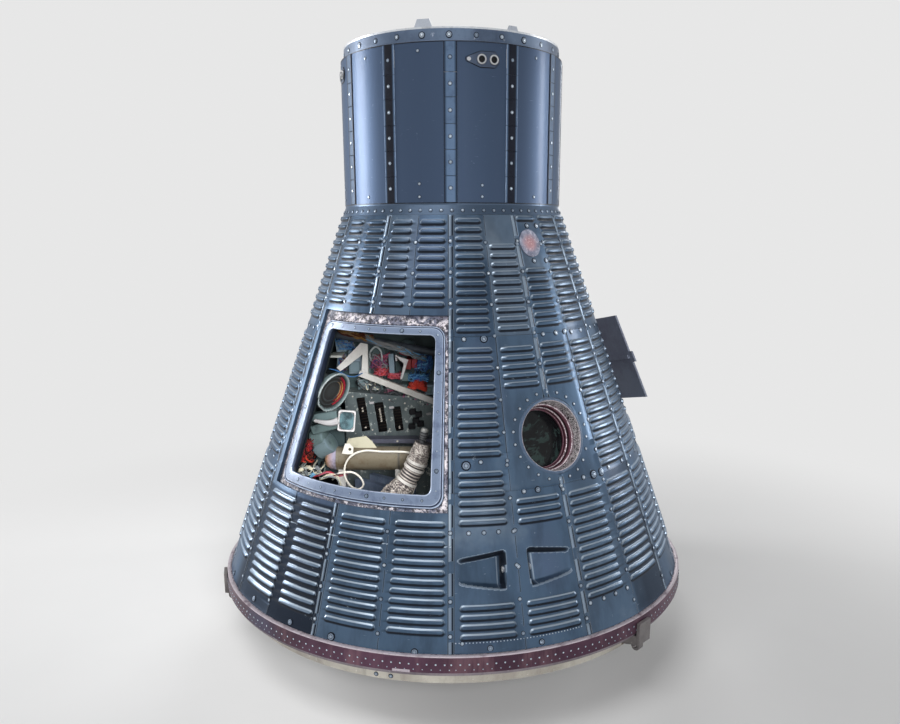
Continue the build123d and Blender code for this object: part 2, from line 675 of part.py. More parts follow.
DOOR_MID_A = (DOOR_A0 + DOOR_A1) / 2
SCOPE_BACK = WELL_DEPTH - WELL_WALL - SEAT_GAP
with BuildPart() as periscope:
    with BuildSketch(skin_plane(DOOR_MID_A, DOOR_MID_Z - SCOPE_DROP, -SCOPE_BACK)):
        Circle(SCOPE_R)
    extrude(amount=SCOPE_BACK - SCOPE_HEAD_DEPTH)
    with BuildSketch(skin_plane(DOOR_MID_A, DOOR_MID_Z - SCOPE_DROP, -SCOPE_HEAD_DEPTH)):
        Circle(SCOPE_R - 10)
    extrude(amount=-8, mode=Mode.SUBTRACT)
    with BuildSketch(skin_plane(DOOR_MID_A, DOOR_MID_Z - SCOPE_DROP, -SCOPE_BACK)):
        Rectangle(SCOPE_R * 1.5, SCOPE_R * 3)
    extrude(amount=16)

# hinge frame at the door's far edge: x towards the door, y outwards, z up the slant
hinge_base = skin_plane(DOOR_A1, DOOR_MID_Z, HINGE_PROUD)
HINGE = Plane(origin=hinge_base.origin, x_dir=hinge_base.x_dir * -1, z_dir=hinge_base.y_dir)
KNUCKLES = [  # offset along the slant, length
    (o, HINGE_KNUCKLE) for o in HINGE_OFFSETS
]
with BuildPart() as door_hinges:
    pitch = HINGE_KNUCKLE + HINGE_KNUCKLE_GAP
    for along, length in KNUCKLES:
        for side in (-1, 1):
            start = along + side * pitch - length / 2
            with BuildSketch(HINGE.offset(start)):
                Circle(HINGE_BARREL_R)
                with Locations((-HINGE_BARREL_R - 5, -HINGE_PROUD / 2 - 0.2)):
                    Rectangle(2 * HINGE_BARREL_R + 14, HINGE_PROUD - 0.6)
            extrude(amount=length)
        with BuildSketch(HINGE.offset(along - pitch - length / 2)):
            Circle(HINGE_PIN_R)
        extrude(amount=2 * pitch + length)

with BuildPart() as periscope_door:
    door_side = arc_angle(DOOR_SIDE_GAP, DOOR_MID_R)
    with BuildSketch(meridian(DOOR_A0 + door_side)):
        with BuildLine():
            Polyline(*slab(DOOR_Z0 + DOOR_END_GAP, DOOR_Z1 - DOOR_END_GAP, 0,
                           DOOR_THICKNESS), close=True)
        make_face()
    revolve(axis=Axis.Z, revolution_arc=DOOR_A1 - DOOR_A0 - 2 * door_side)
    # stiffener across the inner face
    with BuildSketch(meridian(DOOR_A0 + 2 * door_side)):
        with BuildLine():
            Polyline(*slab(DOOR_MID_Z - RIB_WIDTH / 2, DOOR_MID_Z + RIB_WIDTH / 2,
                           -DOOR_THICKNESS + 1, DOOR_THICKNESS + RIB_HEIGHT), close=True)
        make_face()
    revolve(axis=Axis.Z, revolution_arc=DOOR_A1 - DOOR_A0 - 4 * door_side)
    # latch tongue beyond the free edge
    tongue = arc_angle(LATCH_REACH - DOOR_SIDE_GAP, DOOR_MID_R)
    tongue_half = LATCH_HEIGHT * COS / 2
    with BuildSketch(meridian(DOOR_A0 - tongue)):
        with BuildLine():
            Polyline(*slab(DOOR_MID_Z - tongue_half, DOOR_MID_Z + tongue_half, 0,
                           DOOR_THICKNESS), close=True)
        make_face()
    revolve(axis=Axis.Z, revolution_arc=tongue + 2 * door_side)
    for along, length in KNUCKLES:
        with BuildSketch(HINGE.offset(along - length / 2)):
            Circle(HINGE_BARREL_R)
            with Locations(((LEAF_LENGTH + LEAF_CLEARANCE) / 2,
                            -HINGE_PROUD + LEAF_THICKNESS / 2 - 1.5)):
                Rectangle(LEAF_LENGTH - LEAF_CLEARANCE, LEAF_THICKNESS + 3)
            Circle(HINGE_PIN_R + HINGE_BORE_CLEARANCE, mode=Mode.SUBTRACT)
        extrude(amount=length)

hinge_axis = Axis(origin=hinge_base.origin, direction=hinge_base.y_dir)
door_open = periscope_door.part.rotate(hinge_axis, DOOR_OPEN)

# ---------------------------------------------------------------- neck
with BuildPart() as neck_panels:
    half_strip = arc_angle(STRIP_WIDTH / 2 + SEAT_GAP, NECK_R)
    for column in range(COLUMNS):
        with BuildSketch(meridian(column * COLUMN_ANGLE + half_strip)):
            with BuildLine():
                Polyline(
                    (NECK_R - NECK_WALL, NECK_RING_Z1 + SEAT_GAP),
                    (NECK_R, NECK_RING_Z1 + SEAT_GAP),
                    (NECK_R, NECK_PANEL_Z1 - SEAT_GAP),
                    (NECK_R - NECK_WALL, NECK_PANEL_Z1 - SEAT_GAP),
                    close=True,
                )
            make_face()
        revolve(axis=Axis.Z, revolution_arc=COLUMN_ANGLE - 2 * half_strip)

with BuildPart() as joint_strips:
    half_strip = arc_angle(STRIP_WIDTH / 2, NECK_R)
    for column in range(COLUMNS):
        with BuildSketch(meridian(column * COLUMN_ANGLE - half_strip)):
            with BuildLine():
                Polyline(
                    (NECK_R - NECK_WALL, NECK_RING_Z1 + SEAT_GAP),
                    (NECK_R + STRIP_PROUD, NECK_RING_Z1 + SEAT_GAP),
                    (NECK_R + STRIP_PROUD, NECK_PANEL_Z1 - SEAT_GAP),
                    (NECK_R - NECK_WALL, NECK_PANEL_Z1 - SEAT_GAP),
                    close=True,
                )
            make_face()
        revolve(axis=Axis.Z, revolution_arc=2 * half_strip)

with BuildPart() as thruster_plates:
    for quarter in range(4):
        a = THRUSTER_AZIMUTH + 90 * quarter
        with BuildSketch(radial_plane(a, THRUSTER_Z, NECK_R - 20)):
            with BuildLine():
                Polyline(
                    (-THRUSTER_HALF_LENGTH, 5),
                    (-THRUSTER_HALF_LENGTH, -5),
                    (-10, -THRUSTER_HALF_HEIGHT),
                    (THRUSTER_HALF_LENGTH - 15, -THRUSTER_HALF_HEIGHT),
                    (THRUSTER_HALF_LENGTH, -8),
                    (THRUSTER_HALF_LENGTH, 8),
                    (THRUSTER_HALF_LENGTH - 15, THRUSTER_HALF_HEIGHT),
                    (-10, THRUSTER_HALF_HEIGHT),
                    close=True,
                )
            make_face()
            with Locations((-5, 0), (THRUSTER_HALF_LENGTH - 20, 0)):
                Circle(THRUSTER_HOLE_R, mode=Mode.SUBTRACT)
        extrude(amount=40)
    add(neck_skin_form.part, mode=Mode.INTERSECT)

with BuildPart() as top_ring:
    with BuildSketch(Plane.XY.offset(NECK_PANEL_Z1)):
        Circle(TOP_RING_R)
        Circle(TOP_RING_INNER_R, mode=Mode.SUBTRACT)
    extrude(amount=TOP_Z - NECK_PANEL_Z1)
    with BuildSketch(Plane.XY.offset(TOP_Z)):
        with PolarLocations(TOP_BOLT_PCD_R, TOP_BOLTS, start_angle=-90):
            Circle(TOP_BOLT_HOLE_R)
    extrude(amount=-TOP_BOLT_DEPTH, mode=Mode.SUBTRACT)

TABS = [  # azimuth, width, height
    (-13.0, 62.0, 26.0),
    (32.0, 44.0, 16.0),
]
TAB_THICKNESS = 5.0
with BuildPart() as ring_tabs:
    for a, width, height in TABS:
        with BuildSketch(radial_plane(a, TOP_Z + SEAT_GAP, TOP_RING_R - TAB_THICKNESS - 6)):
            with BuildLine():
                Polyline((-width / 2, 0), (width / 2, 0), (width / 3, height),
                         (-width / 3, height), close=True)
            make_face()
        extrude(amount=TAB_THICKNESS)

with BuildPart() as recovery_deck:
    with BuildSketch(Plane.XY.offset(DECK_Z)):
        Circle(NECK_R - NECK_WALL - SEAT_GAP)
    extrude(amount=DECK_THICKNESS)

with BuildPart() as recovery_divider:
    with BuildSketch(Plane.XY.offset(DECK_Z + DECK_THICKNESS + SEAT_GAP)):
        Rectangle(DIVIDER_THICKNESS, 2 * (NECK_R - NECK_WALL - 4))
    extrude(amount=NECK_PANEL_Z1 - DECK_Z - DECK_THICKNESS - 2 * SEAT_GAP)

with BuildPart() as forward_bulkhead:
    with BuildSketch(Plane.XZ):
        with BuildLine():
            Polyline((0, FORWARD_Z), (cone_r(FORWARD_Z, WALL_THICKNESS + SEAT_GAP), FORWARD_Z),
                     (cone_r(FORWARD_Z + BULKHEAD_THICKNESS, WALL_THICKNESS + SEAT_GAP), FORWARD_Z + BULKHEAD_THICKNESS),
                     (0, FORWARD_Z + BULKHEAD_THICKNESS), close=True)
        make_face()
    revolve(axis=Axis.Z)

with BuildPart() as cabin_floor:
    low = FLOOR_Z - FLOOR_THICKNESS
    with BuildSketch(Plane.XZ):
        with BuildLine():
            Polyline((0, low), (cone_r(low, WALL_THICKNESS + SEAT_GAP), low),
                     (cone_r(FLOOR_Z, WALL_THICKNESS + SEAT_GAP), FLOOR_Z), (0, FLOOR_Z),
                     close=True)
        make_face()
    revolve(axis=Axis.Z)

# ---------------------------------------------------------------- cabin contents
CONSOLE_X0 = -458.0
CONSOLE_X1 = -70.0
CONSOLE_Y0 = 45.0
CONSOLE_DEPTH = 120.0
CONSOLE_TOP_LEFT = FLOOR_Z + 500.0
CONSOLE_TOP_RIGHT = FLOOR_Z + 465.0
SLOT_DEPTH = 24.0
SLOTS = [  # middle x, middle above the floor, width, height, lean in degrees
    (-382.0, 400.0, 36.0, 146.0, 8.0),
    (-308.0, 388.0, 38.0, 128.0, 8.0),
    (-235.0, 381.0, 34.0, 106.0, 7.0),
]
console_front = Plane(origin=(0, CONSOLE_Y0, 0), x_dir=(1, 0, 0), z_dir=(0, -1, 0))
with BuildPart() as instrument_console:
    with BuildSketch(console_front):
        with BuildLine():
            Polyline((CONSOLE_X0, FLOOR_Z + SEAT_GAP), (CONSOLE_X1, FLOOR_Z + SEAT_GAP),
                     (CONSOLE_X1, CONSOLE_TOP_RIGHT), (CONSOLE_X0, CONSOLE_TOP_LEFT), close=True)
        make_face()
    extrude(amount=-CONSOLE_DEPTH)
    with BuildSketch(console_front):
        for sx, sz, sw, sh, lean in SLOTS:
            with Locations(Location((sx, FLOOR_Z + sz), lean)):
                Rectangle(sw, sh)
    extrude(amount=-SLOT_DEPTH, mode=Mode.SUBTRACT)

LEDGE_Z = FLOOR_Z + 307.0
LEDGE_DEPTH = 60.0
LEDGE_THICKNESS = 18.0
LEDGE_X0 = CONSOLE_X0 + 75.0
with BuildPart() as console_ledge:
    with BuildSketch(Plane.XY.offset(LEDGE_Z - LEDGE_THICKNESS)):
        with Locations(((LEDGE_X0 + CONSOLE_X1) / 2, CONSOLE_Y0 - SEAT_GAP - LEDGE_DEPTH / 2)):
            Rectangle(CONSOLE_X1 - LEDGE_X0, LEDGE_DEPTH)
    extrude(amount=LEDGE_THICKNESS)

DUCT_R = 16.0
DUCT_Y = 34.0
DUCT_LEFT = (-658.0, FLOOR_Z + 775.3)
DUCT_RIGHT = (-40.0, FLOOR_Z + 660.0)
duct_run = Vector(DUCT_RIGHT[0] - DUCT_LEFT[0], 0, DUCT_RIGHT[1] - DUCT_LEFT[1])
duct_start = Plane(origin=(DUCT_LEFT[0], DUCT_Y, DUCT_LEFT[1]), x_dir=(0, 1, 0), z_dir=duct_run)
with BuildPart() as upper_duct:
    with BuildSketch(duct_start):
        Circle(DUCT_R)
    extrude(amount=duct_run.length)
    with BuildSketch(Plane.XY.offset(DUCT_RIGHT[1] - DUCT_R)):
        with Locations((DUCT_RIGHT[0], DUCT_Y)):
            Circle(DUCT_R)
    extrude(amount=FORWARD_Z - SEAT_GAP - DUCT_RIGHT[1] + DUCT_R)
    add(cabin_inside_form.part, mode=Mode.INTERSECT)

BEAM_THICKNESS = 24.0
BEAM_DEPTH = 20.0
BEAM_LEFT = (-392.0, FLOOR_Z + 580.0)
BEAM_RIGHT = (-76.0, FLOOR_Z + 457.0)
beam_front = Plane(origin=(0, CONSOLE_Y0 - SEAT_GAP - BEAM_DEPTH, 0), x_dir=(1, 0, 0),
                   z_dir=(0, -1, 0))
BEAM_LEAN = degrees(atan2(BEAM_RIGHT[1] - BEAM_LEFT[1], BEAM_RIGHT[0] - BEAM_LEFT[0]))
BEAM_LENGTH = sqrt((BEAM_RIGHT[1] - BEAM_LEFT[1]) ** 2 + (BEAM_RIGHT[0] - BEAM_LEFT[0]) ** 2)
with BuildPart() as cross_beam:
    with BuildSketch(beam_front):
        with Locations(Location(((BEAM_LEFT[0] + BEAM_RIGHT[0]) / 2,
                                 (BEAM_LEFT[1] + BEAM_RIGHT[1]) / 2), BEAM_LEAN)):
            Rectangle(BEAM_LENGTH, BEAM_THICKNESS)
    extrude(amount=-BEAM_DEPTH)

STRUT_WIDTH = 22.0
STRUT_DEPTH = 14.0
APEX_X = -368.0
STRUT_END_X = -470.0
STRUT_END_Z = FLOOR_Z + 588.0
strut_front = Plane(origin=(0, DUCT_Y - STRUT_DEPTH / 2, 0), x_dir=(1, 0, 0), z_dir=(0, -1, 0))


def duct_under(x):
    """Height just under the duct at x."""
    slope = (DUCT_RIGHT[1] - DUCT_LEFT[1]) / (DUCT_RIGHT[0] - DUCT_LEFT[0])
    middle = DUCT_LEFT[1] + (x - DUCT_LEFT[0]) * slope
    return middle - DUCT_R * sqrt(1 + slope * slope) - SEAT_GAP


def beam_top(x):
    """Height just above the cross beam at x."""
    lean = radians(BEAM_LEAN)
    middle = BEAM_LEFT[1] + (x - BEAM_LEFT[0]) * tan(lean)
    return middle + BEAM_THICKNESS / 2 / cos(lean) + SEAT_GAP


with BuildPart() as v_strut:
    with BuildSketch(strut_front):
        with BuildLine():
            Polyline(
                (APEX_X - 14, duct_under(APEX_X - 14)),
                (APEX_X + 14, duct_under(APEX_X + 14)),
                (APEX_X + STRUT_WIDTH / 2 + 3, beam_top(APEX_X + STRUT_WIDTH / 2 + 3)),
                (APEX_X - STRUT_WIDTH / 2 - 3, beam_top(APEX_X - STRUT_WIDTH / 2 - 3)),
                (APEX_X - 8, duct_under(APEX_X) - 46),
                (STRUT_END_X, STRUT_END_Z),
                (STRUT_END_X - 14, STRUT_END_Z + 16),
                close=True,
            )
        make_face()
    extrude(amount=-STRUT_DEPTH)

TANK_R = 46.0
TANK_X0 = -498.0
TANK_X1 = -132.0
TANK_Y = -254.0
TANK_Z = FLOOR_Z + 295.0
tank_end = Plane(origin=(TANK_X0, TANK_Y, TANK_Z), x_dir=(0, 1, 0), z_dir=(1, 0, 0))
with BuildPart() as oxygen_tank:
    with BuildSketch(tank_end):
        Circle(TANK_R)
    extrude(amount=TANK_X1 - TANK_X0)
    fillet(oxygen_tank.edges().filter_by(GeomType.CIRCLE), TANK_R * 0.6)

STAND_WIDTH = 26.0
STAND_DEPTH = 50.0
STAND_X = (-430.0, -210.0)
with BuildPart() as tank_stands:
    for sx in STAND_X:
        with BuildSketch(Plane.XY.offset(FLOOR_Z + SEAT_GAP)):
            with Locations((sx, TANK_Y)):
                Rectangle(STAND_WIDTH, STAND_DEPTH)
        extrude(amount=TANK_Z - FLOOR_Z - SEAT_GAP)
    with BuildSketch(Plane(origin=(TANK_X0 - 20, TANK_Y, TANK_Z), x_dir=(0, 1, 0),
                           z_dir=(1, 0, 0))):
        Circle(TANK_R + SEAT_GAP)
    extrude(amount=TANK_X1 - TANK_X0 + 40, mode=Mode.SUBTRACT)

RAIL_TOP_Z = FLOOR_Z + 150.0
RAIL_THICKNESS = 26.0
RAILS = [  # middle x, middle y, length, turn in degrees
    (-310.0, -125.0, 240.0, -38.0),
    (-255.0, -65.0, 240.0, -38.0),
]
with BuildPart() as equipment_rails:
    for rx, ry, length, turn in RAILS:
        with BuildSketch(Plane.XY.offset(FLOOR_Z + SEAT_GAP)):
            with Locations(Location((rx, ry), turn)):
                Rectangle(length, RAIL_THICKNESS)
        extrude(amount=RAIL_TOP_Z - FLOOR_Z - SEAT_GAP)

DRUM_R = 76.0
DRUM_LENGTH = 84.0
DRUM_AZIMUTH = -56.43
DRUM_LIFT = 565.0
DRUM_INSET = 128.2        # middle of the drum's face inside the cone
DRUM_AT = (around(DRUM_AZIMUTH)[0] * (cone_r(FLOOR_Z + DRUM_LIFT) - DRUM_INSET)
           + Vector(0, 0, FLOOR_Z + DRUM_LIFT))
drum_plane = Plane(origin=DRUM_AT, x_dir=(0, 0, 1), z_dir=(0.86, -0.45, -0.12))
with BuildPart() as dial_drum:
    with BuildSketch(drum_plane.offset(-DRUM_LENGTH)):
        Circle(DRUM_R)
    extrude(amount=DRUM_LENGTH)
    with BuildSketch(drum_plane):
        Circle(DRUM_R - 9)
    extrude(amount=-14, mode=Mode.SUBTRACT)
    add(cabin_inside_form.part, mode=Mode.INTERSECT)

MIRROR_SIZE = (64.0, 80.0)
MIRROR_THICKNESS = 12.0
MIRROR_FROM_DRUM = (48.0, -26.0, -104.0)
MIRROR_AT = tuple(DRUM_AT + Vector(*MIRROR_FROM_DRUM))
mirror_plane = Plane(origin=MIRROR_AT, x_dir=(1, 0, 0), z_dir=(0, -1, 0)).rotated((0, 0, 8))
with BuildPart() as mirror:
    with BuildSketch(mirror_plane):
        RectangleRounded(MIRROR_SIZE[0], MIRROR_SIZE[1], 6)
    extrude(amount=-MIRROR_THICKNESS)
    # arm from the frame's left edge up to the drum's underside
    with BuildSketch(Plane(origin=(0, MIRROR_AT[1] + 4, 0), x_dir=(1, 0, 0), z_dir=(0, -1, 0))):
        with BuildLine():
            Polyline(
                (MIRROR_AT[0] - MIRROR_SIZE[0] / 2 + 4, MIRROR_AT[2] + 2),
                (MIRROR_AT[0] - MIRROR_SIZE[0] / 2 + 4, MIRROR_AT[2] + 18),
                (MIRROR_AT[0] - MIRROR_SIZE[0] / 2 - 50, MIRROR_AT[2] + 18),
                (MIRROR_AT[0] - MIRROR_SIZE[0] / 2 - 50, MIRROR_AT[2] + 60),
                (MIRROR_AT[0] - MIRROR_SIZE[0] / 2 - 66, MIRROR_AT[2] + 60),
                (MIRROR_AT[0] - MIRROR_SIZE[0] / 2 - 66, MIRROR_AT[2] + 2),
                close=True,
            )
        make_face()
    extrude(amount=-14)
    with BuildSketch(drum_plane.offset(20)):
        Circle(DRUM_R + SEAT_GAP)
    extrude(amount=-DRUM_LENGTH - 60, mode=Mode.SUBTRACT)

HOSE_R = 32.0
HOSE_BEND_R = 90.0
HOSE_ROUTE = [  # x, y, height above the floor
    (-110.0, -421.0, 410.0),
    (-124.0, -421.0, 346.0),
    (-190.0, -423.0, 232.0),
    (-232.0, -426.0, 130.0),
    (-238.0, -428.0, 66.0),
    (-238.0, -428.0, SEAT_GAP),
]
HOSE_POINTS = [(x, y, FLOOR_Z + z) for x, y, z in HOSE_ROUTE]
with BuildPart() as suit_hose:
    with BuildLine() as hose_path:
        FilletPolyline(*HOSE_POINTS, radius=HOSE_BEND_R)
    hose_start = Plane(origin=HOSE_POINTS[0], z_dir=hose_path.line % 0)
    with BuildSketch(hose_start):
        Circle(HOSE_R)
    sweep(path=hose_path.line)

KNOB_R = 13.0
KNOB_HEIGHT = 46.0
KNOB_BASE_R = 26.0
KNOB_BASE_HEIGHT = 12.0
hose_top = Vector(*HOSE_POINTS[0])
hose_up = (hose_path.line % 0) * -1
controller_plane = Plane(origin=hose_top + hose_up * SEAT_GAP, z_dir=hose_up)
with BuildPart() as hand_controller:
    with BuildSketch(controller_plane):
        Circle(KNOB_BASE_R)
    extrude(amount=KNOB_BASE_HEIGHT)
    with BuildSketch(controller_plane.offset(KNOB_BASE_HEIGHT)):
        Circle(KNOB_R)
    extrude(amount=KNOB_HEIGHT)
    fillet(hand_controller.edges().sort_by(Axis.Z)[-1], KNOB_R * 0.7)

# ---------------------------------------------------------------- write the pieces
PIECES = {
    "heat_shield": heat_shield.part,
    "edge_band": edge_band.part,
    "aft_frame": aft_frame.part,
    "aft_ring": aft_ring.part,
    "ring_lip": ring_lip.part,
    "strap_fittings": strap_fittings.part,
    "wall_lower": walls["wall_lower"].part,
    "wall_middle": walls["wall_middle"].part,
    "wall_upper": walls["wall_upper"].part,
    "neck_ring": neck_ring.part,
    "hatch_frame": hatch_frame.part,
    "porthole_rings": porthole_rings.part,
    "porthole_glass": porthole_glass.part,
    "oval_cover": oval_cover.part,
    "roll_nozzles": roll_nozzles.part,
    "periscope_well": periscope_well.part,
    "periscope": periscope.part,
    "door_hinges": door_hinges.part,
    "periscope_door": door_open,
    "neck_panels": neck_panels.part,
    "joint_strips": joint_strips.part,
    "thruster_plates": thruster_plates.part,
    "top_ring": top_ring.part,
    "ring_tabs": ring_tabs.part,
    "recovery_deck": recovery_deck.part,
    "recovery_divider": recovery_divider.part,
    "forward_bulkhead": forward_bulkhead.part,
    "cabin_floor": cabin_floor.part,
    "instrument_console": instrument_console.part,
    "console_ledge": console_ledge.part,
    "upper_duct": upper_duct.part,
    "cross_beam": cross_beam.part,
    "v_strut": v_strut.part,
    "oxygen_tank": oxygen_tank.part,
    "tank_stands": tank_stands.part,
    "equipment_rails": equipment_rails.part,
    "dial_drum": dial_drum.part,
    "mirror": mirror.part,
    "suit_hose": suit_hose.part,
    "hand_controller": hand_controller.part,
}
os.makedirs("parts", exist_ok=True)
for piece_name, piece in PIECES.items():
    piece.label = piece_name
    export_step(piece, f"parts/{piece_name}.step")
print("hinge origin", hinge_base.origin, "axis", hinge_base.y_dir)
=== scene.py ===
import json
import math

import bpy
import numpy as np
from mathutils import Matrix, Vector


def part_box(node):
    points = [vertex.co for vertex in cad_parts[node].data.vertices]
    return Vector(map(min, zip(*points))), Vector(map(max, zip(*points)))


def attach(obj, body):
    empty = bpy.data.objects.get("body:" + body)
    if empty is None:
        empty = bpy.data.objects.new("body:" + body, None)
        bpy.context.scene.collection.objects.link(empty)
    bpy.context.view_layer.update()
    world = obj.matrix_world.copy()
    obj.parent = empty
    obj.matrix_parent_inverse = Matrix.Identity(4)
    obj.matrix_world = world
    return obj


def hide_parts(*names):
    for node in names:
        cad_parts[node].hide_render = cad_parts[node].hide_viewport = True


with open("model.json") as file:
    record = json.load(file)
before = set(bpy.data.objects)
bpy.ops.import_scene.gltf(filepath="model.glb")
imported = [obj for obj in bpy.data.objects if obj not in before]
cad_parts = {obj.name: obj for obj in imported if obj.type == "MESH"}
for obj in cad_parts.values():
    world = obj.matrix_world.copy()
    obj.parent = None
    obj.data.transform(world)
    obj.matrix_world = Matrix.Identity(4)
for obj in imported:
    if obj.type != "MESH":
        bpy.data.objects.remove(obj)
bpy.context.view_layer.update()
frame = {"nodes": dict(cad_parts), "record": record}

bl_info = {
    "name": "Re-entry capsule dressing",
    "version": (1, 0, 0),
    "blender": (4, 5, 0),
    "location": "View3D > Sidebar > Capsule",
    "description": "Builds the skin, fittings, cabin contents and finishes of a one-person re-entry capsule round its frame",
    "category": "Object",
}

HULL = "capsule"

# ---------- places and sizes, metres and degrees
CONE_ANGLE = math.radians(20.0)
TAN, COS, SIN = math.tan(CONE_ANGLE), math.cos(CONE_ANGLE), math.sin(CONE_ANGLE)
NECK_R = 0.416
CONE_TOP = 1.735
WALL = 0.05
PANEL_ANGLE = 30.0
AXIS_POINT = (0.0, 0.0, 0.4)
# windows in the cone: first azimuth, last azimuth, lower height, upper height
HATCH = (-57.0, -0.8, 0.75, 1.37)
SEAT = (-55.3, -1.9, 0.762, 1.337)
SEAT_CORNER = 0.042
CLEAR = (-51.9, -5.3, 0.805, 1.308)
CLEAR_CORNER = 0.022
DOORWAY = (82.5, 97.5, 0.939, 1.295)
LATCH_NOTCH = (80.44, 82.5, 1.089, 1.145)
PORTHOLES = (30.0, 210.0)
PORT_Z = 0.967
PORT_R = 0.1323
PORT_CELL = (-11.0, 11.0, 0.833, 1.101)
PORT_CELLS = [(a + PORT_CELL[0], a + PORT_CELL[1], *PORT_CELL[2:]) for a in PORTHOLES]
SCOOP_PAIRS = (15.0, 195.0)
SCOOP_Z = 0.573
SCOOP_SPREAD = 8.3
NECK_Z = (1.742, 2.255)
STRIP_HALF = 0.0225
STRIP_PROUD = 0.0025
FLOOR_Z = 0.49


def cone_r(z):
    """Radius of the cone at height z."""
    return NECK_R + (CONE_TOP - z) * TAN


def bearing(az):
    """Outward and tangent unit vectors at azimuth az in degrees, counted from -Y towards +X."""
    a = np.radians(np.asarray(az, float))
    zero = np.zeros_like(a)
    return np.stack([np.sin(a), -np.cos(a), zero], -1), np.stack([np.cos(a), np.sin(a), zero], -1)


def on_cone(az, z, out=0.0):
    """Points on the cone: radius cone_r(z) at azimuth az, moved out along the slanted normal."""
    z, out = floats(z, out)
    return on_drum(az, z + out * SIN, cone_r(z) + out * COS)


def on_drum(az, z, r):
    """Points on an upright cylinder of radius r."""
    az, z, r = np.broadcast_arrays(*floats(az, z, r))
    p = bearing(az)[0] * r[..., None]
    p[..., 2] = z
    return p


def cone_frame(az, z, out=0.0):
    """Origin, tangent, up-slant and outward normal on the cone."""
    rad, tng = bearing(az)
    normal = rad * COS + np.array([0, 0, SIN])
    return on_cone(az, z, out), tng, np.cross(normal, tng), normal


def drum_frame(az, z, r):
    """Origin, tangent, upward and outward vectors on an upright cylinder."""
    rad, tng = bearing(az)
    return on_drum(az, z, r), tng, np.broadcast_to(np.array([0.0, 0, 1]), rad.shape), rad


# ---------- meshes
def floats(*values):
    """Each value as an array of floats."""
    return [np.asarray(v, float) for v in values]


def mm(*values):
    """Metres from millimetres: numbers, or rows of numbers."""
    return np.array(values, float) / 1000


def circle(count):
    """Angles at equal steps round a circle, the last one short of the first."""
    return np.linspace(0, 2 * np.pi, count, endpoint=False)


def held(t):
    """A value held between 0 and 1."""
    return np.clip(t, 0, 1)


def soft_step(t):
    """0 at 0, 1 at 1, smooth between and level beyond."""
    t = held(t)
    return t * t * (3 - 2 * t)


def unit(v):
    v = np.asarray(v, float)
    return v / np.maximum(np.linalg.norm(v, axis=-1, keepdims=True), 1e-12)


def linked(name, data):
    """A new object in the scene."""
    thing = bpy.data.objects.new(name, data)
    bpy.context.scene.collection.objects.link(thing)
    return thing


